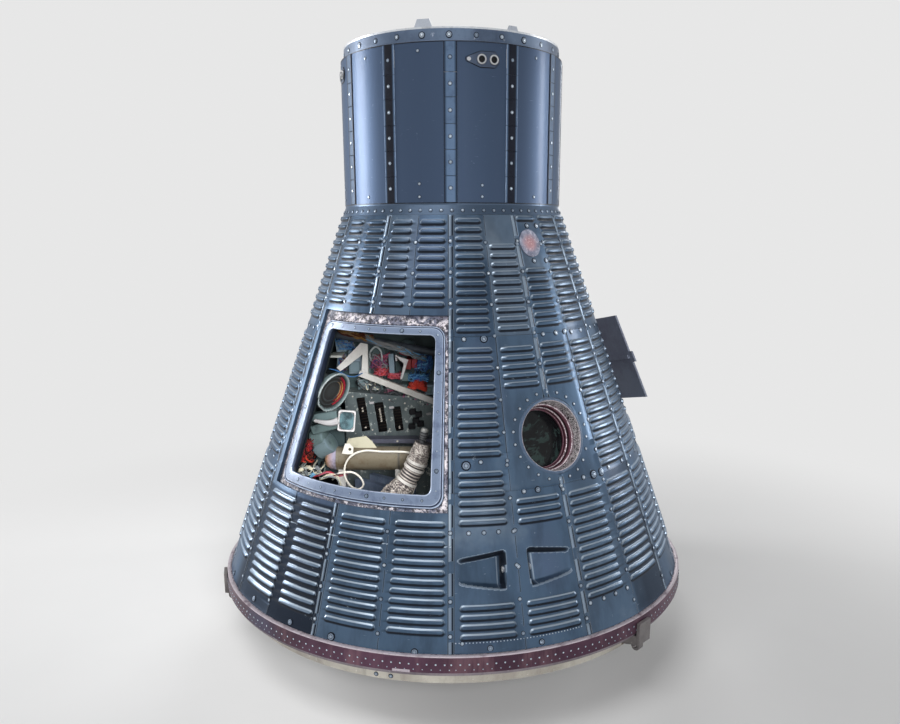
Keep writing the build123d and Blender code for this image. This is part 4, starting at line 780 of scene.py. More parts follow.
class ColourSettings(bpy.types.PropertyGroup):
    """Main colours"""
    skin: tint("Skin", "Blue-grey oxide of the skin", 68, 88, 110)
    # skin_dark also darkens the flats of the panels that carry painted reflection; skin_light also serves as the
    # painted highlight on bead crests, bead feet and the bead tops of those panels
    skin_dark: tint("Skin, dark", "Smears and soot on the skin", 22, 30, 43)
    skin_light: tint("Skin, light", "Rubbed crests of the skin", 178, 192, 206)
    violet: tint("Violet", "Heat tint of the skin", 74, 78, 102)
    neck: tint("Neck", "Panels of the neck", 74, 92, 116)
    frame: tint("Hatch frame", "Pale blue-grey of the hatch frame", 106, 119, 140)
    maroon: tint("Aft ring", "Maroon oxide of the ring", 86, 58, 76)
    backdrop: tint("Floor", "Plain pale floor", 222, 222, 222)


class StudioSettings(bpy.types.PropertyGroup):
    """Light levels"""
    key: watts("Key light", "large lamp at the left", 98.0)
    fill: watts("Fill light", "narrow lamp at the right", 44.0)
    top: watts("Top light", "lamp overhead", 63.0)
    front: watts("Front light", "narrow lamp that reaches into the hatch", 27.0)
    back: watts("Back light", "lamp behind", 60.0)
    air: bpy.props.FloatProperty(name="World", description="Strength at which the surroundings light plain surfaces", default=0.4)


def sizes():
    return bpy.context.scene.capsule_skin


def colours():
    return bpy.context.scene.capsule_colours


def skin_metal():
    c = colours()
    return oxidised_skin("skin_oxide", c.skin, c.skin_dark, c.skin_light, c.violet)


def neck_metal():
    c = colours()
    return oxidised_skin("neck_oxide", c.neck, rgb(56, 70, 92), rgb(150, 164, 184), rgb(74, 82, 106), 0.6, 0.29)


# ---------- the beaded skin
# first and last azimuth of a column, then the height of the top bead, that of the bottom bead and the count of each run
FRONT_COLUMNS = (
    (1.8, 13.5, (1.681, 1.323, 13), (1.2565, 0.93, 12), (0.8665, 0.72, 6), (0.465, 0.38, 4)),
    (16.3, 28.3, (1.595, 1.325, 10), (1.2565, 1.1415, 5), (0.775, 0.715, 3), (0.465, 0.38, 4)),
    (31.3, 42.5, (1.69, 1.69, 1), (1.512, 1.333, 7), (1.261, 1.1415, 5), (0.7725, 0.4465, 12)),
    (45.5, 58.5, (1.695, 1.34, 13), (1.256, 0.841, 15), (0.7725, 0.4465, 12)),
)
HATCH_BEADS = [(a, b, 1.677, 1.405, 10) for a, b in ((-56.5, -45.5), (-42.0, -31.6), (-27.5, -17.5), (-14.0, -2.3))]
HATCH_BEADS += [(a, b, 0.715, 0.395, 12) for a, b in ((-57.0, -44.5), (-42.0, -31.2), (-28.0, -16.0), (-13.5, -1.4))]
PLAIN_BEADS = [(1.694, 1.34, 13), (1.256, 0.841, 15), (0.7725, 0.4465, 12)]
DOOR_BEADS = [(76.2, 79.4, 1.256, 0.957, 11), (76.2, 88.4, 0.9, 0.841, 3), (100.2, 103.0, 1.256, 0.957, 11), (91.6, 103.0, 0.9, 0.841, 3)]
PLAIN_COLUMNS = [15.0 * k for k in (4, 5, 6, 7, 8, 9, 10, 11, 16, 17, 18, 19)]
BEADS = [(a + t, b + t, top, low, n) for t in (0.0, 180.0) for a, b, *runs in FRONT_COLUMNS for top, low, n in runs]
BEADS += HATCH_BEADS + DOOR_BEADS
for column in PLAIN_COLUMNS:
    first, last = (column + 1.6, column + 13.0) if column % 30 == 0 else (column + 1.2, column + 13.4)
    BEADS += [(first, last, top, low, n) for top, low, n in PLAIN_BEADS if not (column in (75.0, 90.0) and n == 15)]
SEAM_SCREW_TOP, SEAM_SCREW_PITCH = 1.613, 0.1025


def near(az, centre):
    """Azimuth difference wrapped to -180..180."""
    return (az - centre + 180.0) % 360.0 - 180.0


def bead_relief(az, z):
    """Height of the beads from 0 to 1 and the side of the bead, -1 below its middle to 1 above: each is a flat-topped pill."""
    r = cone_r(z)
    half_width = sizes().bead_half_width
    relief, lee = np.zeros_like(az), np.zeros_like(az)
    for a0, a1, top, low, n in BEADS:
        pitch = (top - low) / max(n - 1, 1) or 1.0
        k = np.clip(np.round((top - z) / pitch), 0, n - 1)
        y = (z - (top - k * pitch)) / COS
        x = np.radians(near(az, (a0 + a1) / 2)) * r
        ex = np.maximum(np.abs(x) - np.radians((a1 - a0) / 2) * r + half_width, 0.0)
        d = np.sqrt(ex ** 2 + y ** 2)
        rise = soft_step((half_width - d) / (0.58 * half_width))
        # painted shade on the lower half and right end of each bead, painted highlight on its upper half and left end
        side = np.clip(y / half_width - 0.35 * np.sign(x) * ex / half_width, -1, 1)
        lee = np.where(rise > relief, side, lee)
        relief = np.maximum(relief, rise)
        # painted shadow on the plain skin just below each bead
        cast = np.clip(1.45 - d / half_width, 0, 0.45) / 0.45 * held(-1.3 * y / half_width) * (d >= half_width)
        lee = np.where((relief <= 0) & (-cast < lee), -cast, lee)
    return relief, lee


def scoop_places(az, z):
    """For each scoop, metres along the skin towards the middle of its pair and metres up from its own middle line."""
    for pair in SCOOP_PAIRS:
        for side in (-1, 1):
            yield np.radians(near(az, pair + side * SCOOP_SPREAD)) * cone_r(z) * side, (z - SCOOP_Z) / COS


def scoop_depth(az, z):
    """Depth of the thruster scoops: soft pockets whose sloping floor falls towards the middle of each pair."""
    depth = np.zeros_like(az)
    for x, y in scoop_places(az, z):
        t = held((x + 0.08) / 0.16)
        half = 0.06 * (1 - t) + 0.037 * t
        edge = np.minimum(half - np.abs(y), 0.078 - x)
        inside = -np.log(np.exp(-edge / 0.006) + np.exp(-(0.078 - x) / 0.006) + np.exp(-(x + 0.079) / 0.004)) * 0.0045
        depth = np.maximum(depth, soft_step(inside / 0.011 + 0.25) * (0.0385 * (1 - t) + 0.003 * t))
    return depth


def seam_places(az, z):
    """Metres from the nearest seam, from the nearest line half-way between seams, and up or down from the nearest gap between screws."""
    y = (z - SEAM_SCREW_TOP + SEAM_SCREW_PITCH / 2) / SEAM_SCREW_PITCH
    seam, middle = np.radians((az + 15.0) % 30.0 - 15.0), np.radians((az % 30.0) - 15.0)
    return seam * cone_r(z), middle * cone_r(z), np.abs(y - np.round(y)) * SEAM_SCREW_PITCH / COS


def seam_relief(az, z):
    """Cover battens on the panel seams, upright ridges between their screws, and laps half-way between the seams."""
    seam, middle, y = seam_places(az, z)
    y = np.maximum(y - 0.034, 0.0)
    batten = held((0.01 - np.abs(seam)) / 0.001) * sizes().batten_height
    ridge = np.maximum(1.0 - (seam ** 2 + y ** 2) / 0.005 ** 2, 0.0) * 0.0024
    low = np.maximum(1.0 - (middle ** 2 + y ** 2) / 0.0046 ** 2, 0.0) * 0.0018 * (z < 0.93)
    lap = held(1.0 - np.abs(middle) / 0.0022) * 0.0022 * ((z > 0.93) & (z < 1.3))
    return batten + ridge + low - lap


def skin_out(az, z):
    """How far the skin stands out from the plain cone, with the beads' share and side."""
    relief, lee = bead_relief(az, z)
    pocket = scoop_depth(az, z)
    out = sizes().bead_height * relief + seam_relief(az, z) * (relief <= 0) - pocket
    # painted light on the scoop rims: highlight on the lower lip, shade under the upper edge
    slope = (scoop_depth(az, z + 0.0035) - scoop_depth(az, z - 0.0035)) / 0.007
    side = np.clip(slope * 1.1, -1, 0.35)
    # painted shadow on each scoop's floor along its deep wall and under its upper edge
    for x, y in scoop_places(az, z):
        x = x + 0.08
        upper = 0.06 - 0.023 * x / 0.16 - y
        scoop_shadow = np.maximum(held(1.15 - x / 0.02), held(1.1 - upper / 0.013) * held(1.3 - x / 0.15))
        side = np.where((pocket > 0.0015) & (x > 0) & (x < 0.165), np.minimum(side, -scoop_shadow), side)
    # relief 0.5 at these places is no height: it lets the painted light and shade show
    edged = (np.abs(side) > 0.05) & (relief <= 0)
    relief, lee = np.where(edged, 0.5 * held(np.abs(side) * 2), relief), np.where(edged, side, lee)
    plain = relief <= 0
    seam, middle, y = seam_places(az, z)
    crest = y < 0.036
    # painted shade along both edges of each batten and on the right flank of the ridges between screws, painted
    # highlight on their left flank, and painted shade beside the laps and on the right flank of the low ridges
    paint = np.where(np.abs(np.abs(seam) - 0.0101) < 0.0003, -0.75, 0.0)
    paint = np.where(crest & (np.abs(seam - 0.004) < 0.0008), -0.9, paint)
    paint = np.where(crest & (np.abs(seam + 0.004) < 0.0008), 0.4, paint)
    paint = np.where(np.abs(middle - 0.0012) < 0.0004, np.where((z > 0.93) & (z < 1.3), -0.9, np.where(crest, -0.6, 0.0)), paint)
    front = near(az, 0.0)
    s = np.radians(front) * cone_r(z)
    # a light dashed line along the left side of the front seam
    dash = np.sin((z - SEAM_SCREW_TOP) / SEAM_SCREW_PITCH * 2 * np.pi + 1.5 * np.sin(z * 31)) > -0.75
    paint = np.where((np.abs(s + 0.004) < 0.0008) & (z > 0.645) & (z < 1.37) & dash, 1.0, paint)
    scratch = (np.abs(z - 0.649 - 0.0006 * np.sin(az)) < 0.0011) & (((front > -45) & (front < -14)) | ((front > -4) & (front < 0)))
    paint = np.where(scratch & (np.sin(az * 9 + 2 * np.sin(az * 3)) > -0.7), 1.0, paint)
    # relief 0.5 at these marks is no height: it lets the painted shade, highlights and scratches show
    marked = plain & (paint != 0)
    relief, lee = np.where(marked, 0.5, relief), np.where(marked, paint, lee)
    out = out + 0.0006 * ripple(np.radians(az) * 9 + np.floor(az / PANEL_ANGLE) * 2.1, z * 13, 4)
    return out, relief, lee


def skin_lines(low, high):
    """Azimuth lines as (degrees, metres): close together at seams and bead ends, wide between them."""
    lines = []
    for k in range(-6, 18):
        a = 15.0 * k
        runs = [b for b in BEADS if b[3] < high and b[2] > low and abs(near((b[0] + b[1]) / 2, a + 7.5)) < 6.0]
        ends = [(near(b[0], a + 7.5) + a + 7.5, near(b[1], a + 7.5) + a + 7.5) for b in runs] or [(a + 1.8, a + 13.3)]
        offsets = (-0.0116, -0.0101, -0.0089, -0.004, -0.0004, 0.0004, 0.004, 0.0089, 0.0101, 0.0116)
        if k % 2:
            offsets = (-0.0036, -0.0012, 0.0012, 0.0036)
        lines += [(a, s) for s in offsets]
        for e0 in sorted({round(e[0], 2) for e in ends}):
            lines += [(e0, s) for s in (-0.0005, 0.0018, 0.005, 0.0105)]
        for e1 in sorted({round(e[1], 2) for e in ends}):
            lines += [(e1, s) for s in (0.0005, -0.0018, -0.005, -0.0105)]
        e0, e1 = min(e[0] for e in ends), max(e[1] for e in ends)
        lines += [(e0 + (e1 - e0) * t, 0.0) for t in (0.38, 0.62)]
    return lines


def skin_tone(az, z):
    """Shade of each panel: drawn once for every row and column."""
    shade = np.random.default_rng(11).uniform(0.4, 0.6, (3, 24))
    column = (np.floor(az / 15.0).astype(int)) % 24
    return shade[np.clip(np.floor((z - 0.33) / 0.485).astype(int), 0, 2), column]


def skin_row(name, node, exact, breaks, holes, dense=(), pitch=0.00212):
    """One row of beaded panels: the cone plus skin_out on a grid of azimuth and height, with its openings left out."""
    z0, z1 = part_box(node)[0][2] + 0.0002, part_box(node)[1][2] - 0.0002
    cuts = [z0] + [b for b in breaks if z0 < b < z1] + [z1]
    z = np.concatenate([np.linspace(a, b, max(int(round((b - a) / pitch)), 2), endpoint=False) for a, b in zip(cuts, cuts[1:])] + [[z1]])
    r = cone_r(z)
    lines = skin_lines(z0, z1) + [(a, 0.0) for a0, a1 in dense for a in np.arange(a0, a1, 0.44)]
    az = np.stack([base + np.degrees(s / r) for base, s in lines])
    az = (az + 90.0) % 360.0 - 90.0
    az = az[np.argsort(az[:, len(z) // 2])]
    az = np.sort(az, axis=0)
    az = az[np.append(np.min(np.diff(az, axis=0), axis=1) > 0.028, True)]
    for e in exact:
        az[np.argmin(np.abs(az[:, len(z) // 2] - e))] = e
    az = np.sort(az, axis=0)
    zz = np.broadcast_to(z, az.shape)
    out, relief, lee = skin_out(az, zz)
    lap = held(1 - (z - z0) / 0.01) * 0.0009
    p = on_cone(az, zz, out + lap)
    keep = closed_cells(az, zz, holes)
    work = Sheetwork()
    a = near(az, 0.0)
    # painted reflection: the lower-left panels, the column at 45 to 62 degrees and the upper-left panels get darker
    # flats and lighter bead tops
    painted_reflection = soft_step((a + 66) / 4) * soft_step((-29.5 - a) / 1.0) * soft_step((0.74 - zz) / 0.01)
    painted_reflection = painted_reflection + 0.7 * soft_step((a - 45.5) / 1.5) * soft_step((62 - a) / 3)
    painted_reflection = painted_reflection + 0.6 * soft_step((a + 61) / 3) * soft_step(-44 - a) * soft_step((zz - 1.375) / 0.01)
    tone = skin_tone(az, zz) + painted_reflection * (0.75 * soft_step(relief * 1.6) * (lee > -0.2) - 0.55)
    work.grid(p, wrap_u=True, keep=keep, away=AXIS_POINT, tone=tone, relief=relief, lee=lee)
    work.skirts(p, keep, WALL, cone_frame(az, zz)[3], tone=0.35)
    if node == "wall_middle":
        for a in PORTHOLES:
            port_surround(work, a)
    return work.finish(name, skin_metal(), "shingle", replaces=(node,), crease=60.0)


def port_surround(work, az0):
    """The plain patch of skin round a porthole."""
    az, z, s = port_patch(az0, PORT_R, 160, 12)
    out, relief, lee = skin_out(az, z)
    work.grid(on_cone(az, z, out * held(s * 3)), wrap_v=True, away=AXIS_POINT, tone=skin_tone(az, z), relief=relief, lee=lee)


def beaded_skin():
    """The three rows of beaded panels."""
    edges = [*HATCH[:2]]
    scoops = [(a - 15.0 + 1.2, a + 15.0 - 1.2) for a in SCOOP_PAIRS]
    skin_row("skin_lower", "wall_lower", edges, [HATCH[2]], [HATCH], dense=scoops, pitch=0.0026)
    skin_row("skin_middle", "wall_middle", edges + [e for cell in PORT_CELLS for e in cell[:2]] + [*DOORWAY[:2], LATCH_NOTCH[0]],
             sorted({*PORT_CELL[2:], *DOORWAY[2:], *LATCH_NOTCH[2:]}), [HATCH, DOORWAY, LATCH_NOTCH] + PORT_CELLS)
    skin_row("skin_upper", "wall_upper", edges, [HATCH[3]], [HATCH])


# ---------- screws and rivets of the skin
# azimuth, height, radius scale
FRONT_SCREWS = [
    (4.3, 1.293, 1.1), (11.0, 1.293, 1.7), (3.9, 0.895, 2.0), (7.8, 0.905, 1.0), (15.0, 0.905, 0.9), (4.1, 0.689, 1.0),
    (7.7, 0.689, 1.0), (11.2, 0.689, 1.0), (15.2, 0.689, 1.0), (7.8, 0.345, 1.3), (18.6, 0.345, 1.3), (18.6, 0.805, 1.1),
    (22.5, 0.805, 1.4), (29.5, 0.805, 1.1), (37.0, 1.665, 1.2), (43.0, 1.665, 1.2), (36.8, 1.545, 1.2), (43.8, 1.545, 1.2),
    (29.5, 1.603, 1.1), (43.0, 1.603, 1.1), (33.5, 1.298, 1.1), (39.5, 1.298, 1.2), (44.0, 1.298, 1.2), (37.4, 0.815, 1.2),
    (41.3, 0.815, 2.0), (44.7, 0.815, 2.0), (31.5, 0.425, 1.1), (35.5, 0.425, 1.1), (39.3, 0.425, 1.1), (43.5, 0.425, 1.1),
    (48.0, 1.295, 1.2), (54.5, 1.295, 1.3), (48.5, 0.82, 1.2), (56.5, 0.82, 1.3), (15.2, 0.5785, 1.0),
]
SIDE_SCREWS = [(-51.3, 0.352, 1.5), (-36.8, 0.346, 1.5), (-25.5, 0.343, 1.8), (-7.3, 0.335, 1.5), (2.2, 0.362, 0.9)]


def clear_of_windows(az, z):
    """True where a point lies on the skin and not in one of its openings."""
    ok = np.ones(az.shape, bool)
    windows = [HATCH, DOORWAY]
    windows += [(a + s * SCOOP_SPREAD - 6.6, a + s * SCOOP_SPREAD + 6.6, 0.505, 0.64) for a in SCOOP_PAIRS for s in (-1, 1)]
    for a0, a1, z0, z1 in windows:
        aside = np.abs(near(az, (a0 + a1) / 2)) < (a1 - a0) / 2 + 0.6
        ok &= ~(aside & (z > z0 - 0.012) & (z < z1 + 0.012))
    for a in PORTHOLES:
        ok &= np.hypot(np.radians(near(az, a)) * cone_r(z), (z - PORT_Z) / COS) > 0.16
    return ok


def skin_screws():
    """Screws along the seams and strips, round the portholes, in the odd places and round the neck ring."""
    rng = np.random.default_rng(5)
    heights = SEAM_SCREW_TOP - SEAM_SCREW_PITCH * np.arange(13)
    sets = [(15.0 * k - 0.2, heights - 0.004 * (k % 2), 1.0 - 0.1 * (k % 2)) for k in range(24)]
    for a in np.arange(60.0, 295.0, 15.0):
        sets += [(a + np.array([3.6, 10.4] * 2), np.repeat([1.296, 0.815], 2), 1.1), (a + 7.0, 0.346, 1.4)]
    sets += [np.array(FRONT_SCREWS).T + [[back], [0], [0]] for back in (0.0, 180.0)] + [np.array(SIDE_SCREWS).T]
    sets.append((np.arange(-180.0, 180.0, 5.0) + 0.5, 1.7165, 0.85))
    az, z, size = np.hstack([np.reshape(np.broadcast_arrays(*rows), (3, -1)) for rows in sets])
    ok = clear_of_windows(az, z)
    az, z, size = az[ok], z[ok], size[ok]
    raised = np.where(np.abs((az + 15.0) % 30.0 - 15.0) < 0.5, 0.0012, 0.0002)
    raised = np.where(z > 1.702, 0.0001, raised)
    # tone sets how strong the painted highlight on each crown is
    tone = np.where(z > 1.702, rng.uniform(0.0, 0.7, len(az)) ** 2, rng.uniform(0.1, 1.0, len(az)))
    tone = np.where(size > 1.25, 0.1, tone)
    work = Sheetwork()
    repeat(work, SCREW, cone_frame(az, z, raised), size * sizes().screw_radius, tone)
    for a in PORTHOLES:
        t = np.radians(np.arange(0, 360, 360 / 22.0) + 6.0)
        zz = PORT_Z + 0.151 * np.sin(t) * COS
        repeat(work, SCREW, cone_frame(a + np.degrees(0.151 * np.cos(t) / cone_r(zz)), zz, 0.0002), 0.0048, 0.7)
    for a in (0.0, 180.0):
        repeat(work, RIVET, cone_frame(a + np.arange(0.9, 28.9, 0.7), 0.3635, 0.0), 0.0024, 0.35)
    work.finish("skin_screws", fastener_metal("fastener"), "shingle")


# ---------- hatch
def hatch_surround():
    """Scuffed margin between the cut in the skin and the frame, and the frame itself with its groove, screws and ribbed jamb."""
    outer, seat, clear = window_loop(HATCH, 0.0006), window_loop(SEAT, SEAT_CORNER), window_loop(CLEAR, CLEAR_CORNER)
    margin = Sheetwork()
    # tones are low at both edges, where the margin meets the skin's cut and where it drops into the frame, for painted
    # shade
    section = [(0.0, 0.0112, 0.25), (0.12, 0.0118, 0.45), (0.5, 0.011, 0.8), (0.78, 0.0104, 1.0), (0.9, 0.0078, 0.9), (0.96, 0.009, 0.6),
               (1.0, 0.013, 0.2)]
    loop_band(margin, outer, seat, section, rough=0.0007, seed=3)
    margin.finish("hatch_margin", scuffed_edge("scuffed_margin"), "shingle")
    frame_work = Sheetwork()
    # tones: painted shade down the outer wall, in the groove and on the inner sliver of the jamb; painted highlights on
    # the lips on both sides of the groove and on the inner lip
    section = [(0.01, 0.049, 0.1), (0.01, 0.0096, 0.2), (0.05, 0.008, 0.95), (0.12, 0.0078, 0.62), (0.15, 0.0104, 0.05),
               (0.2, 0.0104, 0.05), (0.23, 0.0078, 0.85), (0.3, 0.0076, 0.6), (0.6, 0.0076, 0.55), (0.9, 0.0078, 0.6),
               (0.96, 0.0082, 0.95), (1.0, 0.0105, 0.7), (1.0, 0.014, 0.45), (0.96, 0.0146, 0.25), (0.97, 0.019, 0.42),
               (0.94, 0.021, 0.12), (0.35, 0.049, 0.0)]
    loop_band(frame_work, seat, clear, section, close=True, rough=0.00015, seed=9)
    blue = toned_paint("sill_blue", ((0, (30, 36, 50)), (0.3, (70, 84, 110)), (0.6, colours().frame), (1, (176, 188, 208))),
                       0.35, 0.3, 150.0, rgb(62, 72, 98), 0.75)
    frame_work.finish("hatch_sill", blue, "sill_metal", replaces=("hatch_frame",), crease=30.0)
    middle = seat * 0.42 + clear * 0.58
    gaps = np.linalg.norm(np.diff(on_cone(middle[:, 0], middle[:, 1]), axis=0, append=on_cone(middle[:1, 0], middle[:1, 1])), axis=1)
    s = np.concatenate([[0], np.cumsum(gaps)])
    closed = np.vstack([middle, middle[:1]])
    t = np.linspace(0, s[-1], 34, endpoint=False) + 0.02
    az, z = np.interp(t % s[-1], s, closed[:, 0]), np.interp(t % s[-1], s, closed[:, 1])
    screws = Sheetwork()
    large = np.arange(34) % 5 == 2
    repeat(screws, SCREW, cone_frame(az, z, -0.0078), np.where(large, 0.0058, 0.0034), np.where(large, 0.05, 0.35))
    screws.finish("hatch_screws", fastener_metal("fastener"), "sill_metal")


# ---------- portholes and scoops
def cone_sink(x):
    """How far the skin lies under a flat plane that touches it, at x along the tangent."""
    return x * x * COS / (2 * cone_r(PORT_Z))


def portholes():
    """Turned tubes: a trim ring that follows the skin, a crinkled foil wall, a rosy step, a dark groove and a bright inner lip."""
    # radius and depth below the touching plane in millimetres, tone, share of the skin's curve that the ring follows
    table = np.array([(132.2, 30, 0.1, 1), (132.2, 0.4, 0.98, 1), (131, -0.8, 0.98, 1), (125.5, -0.9, 1, 1), (122.5, -1.4, 0.95, 1),
            (120.5, -0.6, 0.88, 1), (119.6, 3, 0.6, 1), (119, 8.5, 0.62, 0.95), (118.7, 13.5, 0.6, 0.85), (118.4, 19, 0.64, 0.7),
            (118.1, 24.5, 0.6, 0.55), (117.9, 30, 0.62, 0.4), (117.7, 36, 0.6, 0.25), (117.6, 43, 0.62, 0.1), (117.4, 50, 0.45, 0),
            (115, 50.5, 0.86, 0), (112, 51.2, 0.42, 0), (111.2, 56, 0.4, 0), (110.8, 64, 0.22, 0), (109.5, 65, 0.05, 0), (110, 71, 0.05, 0),
            (108, 72.5, 0.8, 0), (105, 76, 0.3, 0), (104, 83.5, 0.12, 0), (101, 84.5, 0.55, 0), (100.8, 95.5, 0.05, 0)])
    table[:, :2] /= 1000
    foil = ((table[:, 1] > 0.004) & (table[:, 1] < 0.047) & (table[:, 0] < 0.1199))[:, None]

    def wave(r, h, a):
        d = table[:, 1:2]
        crumple = 0.0015 * np.sin(a * 27 + 6 * np.sin(a * 5 + d * 90)) * np.sin(d * 210 + 3 * np.sin(a * 9))
        crumple = crumple + 0.001 * np.sin(a * 63 + 5 * np.sin(a * 11 - d * 160))
        r = r + np.where(foil, crumple, 0.0)
        return r, -(table[:, 1:2] + cone_sink(r * np.cos(a)) * table[:, 3:4])

    work = Sheetwork()
    for a in PORTHOLES:
        lathe(work, table[:, :2], cone_frame(a, PORT_Z), 220, tones=table[:, 2], wave=wave, flip=True)
    work.finish("porthole_tubes", crinkled_foil("port_foil"), "port_metal", replaces=("porthole_rings",), crease=60.0)
    glass = Sheetwork()
    for a in PORTHOLES:
        lathe(glass, mm((100.8, -96.5), (100.5, -95.5), (60, -95), (20, -94.8), (0.4, -94.8)), cone_frame(a, PORT_Z), 64)
    glass.finish("porthole_panes", dark_glass("porthole_pane"), "glass", replaces=("porthole_glass",))


def scoop_fittings():
    """Nozzle mouths in the deep wall of each scoop."""
    work = Sheetwork()
    for pair in SCOOP_PAIRS:
        for side in (-1, 1):
            o, x, y, n = cone_frame(pair + side * SCOOP_SPREAD, SCOOP_Z)
            mouth = o - side * x * 0.0765 - n * 0.0215 + y * 0.002
            lathe(work, mm((11.2, -6), (11.4, 4), (10.4, 5.6), (8.8, 5.2), (7.6, 1), (5, -5), (0.4, -6)),
                  (mouth, y, -side * np.cross(y, x), side * x), 28, tones=[0.3, 0.5, 0.95, 0.9, 0.15, 0.0, 0.0])
    work.finish("scoop_nozzles", nozzle_metal(), "nozzle", replaces=("roll_nozzles",))


# ---------- aft ring
def hoop(work, section, middle, tone, count=240, closed=True):
    """A section of (radius, height) carried round the axis, facing away from the height of its middle."""
    a = np.linspace(0, 360, count, endpoint=False)
    work.grid(np.stack([on_drum(a, z, r) for r, z in section]), wrap_u=closed, wrap_v=True, away=(0, 0, middle), tone=tone)


def aft_ring_details():
    """Rivets round the maroon ring, its top edge strip, the small plate and the band's screws."""
    r, z = 0.9419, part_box("aft_ring")[1][2]
    az = np.arange(0, 360, 1.75)
    work = Sheetwork()
    repeat(work, RIVET, drum_frame(az, 0.3045, 0.944), sizes().rivet_radius, 0.8)
    repeat(work, RIVET, drum_frame(az + 0.9, 0.287, 0.9452), sizes().rivet_radius * 0.7, 0.4)
    repeat(work, SCREW, drum_frame(np.array([-16.3, -13.0, 103.7, 107.0, -163.7, -160.0]), 0.2195, 0.8902), 0.006, 0.5)
    work.finish("ring_rivets", fastener_metal("fastener"), "maroon_metal")
    strips = Sheetwork()
    edge = mm((-10, -0.8), (-10, 1.2), (-1.5, 1.6), (1, 0.4), (1.2, -3), (-1, -3.4)) + (r, z)
    hoop(strips, edge, z, 0.9, 360)
    slab(strips, rounded(0.058, 0.0085, 0.0015), -0.001, 0.0022, drum_frame(-9.8, 0.2795, 0.945), 0.0008, tone=0.7)
    worn = toned_paint("ring_strip", ((0, (90, 80, 90)), (1, (196, 186, 194))), 0.5, 0.28, 200.0, rgb(86, 62, 76), 0.9)
    strips.finish("ring_strip", worn, "maroon_metal")


# ---------- neck
TILE_JOINTS = (2.16, 2.082, 1.9975, 1.915, 1.83)
TILE_SCREWS = (2.206, 2.124, 2.0405, 1.9575, 1.875, 1.7905)
NOZZLE_AZ = (14.4, 20.3)


def neck_strips():
    """Tiled cover strips on the neck: each tile a bevelled shell between two joints."""
    work = Sheetwork()
    edges = np.array([NECK_Z[1] - 0.0004] + list(TILE_JOINTS) + [NECK_Z[0] + 0.0006])
    x = np.array([-1.0, -1.0, -0.94, -0.55, 0.0, 0.55, 0.94, 1.0, 1.0]) * STRIP_HALF
    lift = np.array([0.0, 0.7, 1.0, 1.0, 1.0, 1.0, 1.0, 0.7, 0.0]) * STRIP_PROUD
    tone_x = np.array([0.4, 0.62, 0.5, 0.5, 0.5, 0.5, 0.5, 0.62, 0.4])
    for k in range(12):
        # shade is painted reflection: the strips at 30 and 330 degrees dark, the others near their plain tone
        shade = {0: 0.06, 1: -0.42, 11: -0.46}.get(k, -0.05 + 0.05 * (k % 3))
        for top, low in zip(edges, edges[1:]):
            z = np.array([top - 0.0003, top - 0.0003, top - 0.0016, (top + low) / 2, low + 0.0016, low + 0.0003, low + 0.0003])
            rise = np.array([0.0, 0.75, 1.0, 1.0, 1.0, 0.75, 0.0])
            r = NECK_R + 0.0002 + lift[:, None] * rise[None, :]
            p = on_drum(30.0 * k + np.degrees(x / NECK_R)[:, None], z[None, :], r)
            # painted highlights along the long edges of the two dark strips, painted shade along those of the others
            edge = np.where(np.abs(x) > 0.9 * STRIP_HALF, 0.62 if shade < -0.2 else -0.45, 0.0)[:, None]
            work.grid(p, away=(0, 0, 2.0), tone=held(tone_x[:, None] + shade + edge - 0.32 * (rise < 0.9)), relief=0.0)
    oxide = toned_paint("strip_oxide", ((0, (10, 12, 20)), (0.14, (22, 26, 38)), (0.45, (58, 76, 98)), (0.62, (84, 104, 130)),
                                        (0.8, (124, 140, 162)), (1, (186, 198, 212))),
                        0.35, 0.3, 150.0, rgb(34, 42, 58), 0.4, shine=0.2)
    work.finish("neck_strips", oxide, "strip_metal", replaces=("joint_strips",), crease=24.0)


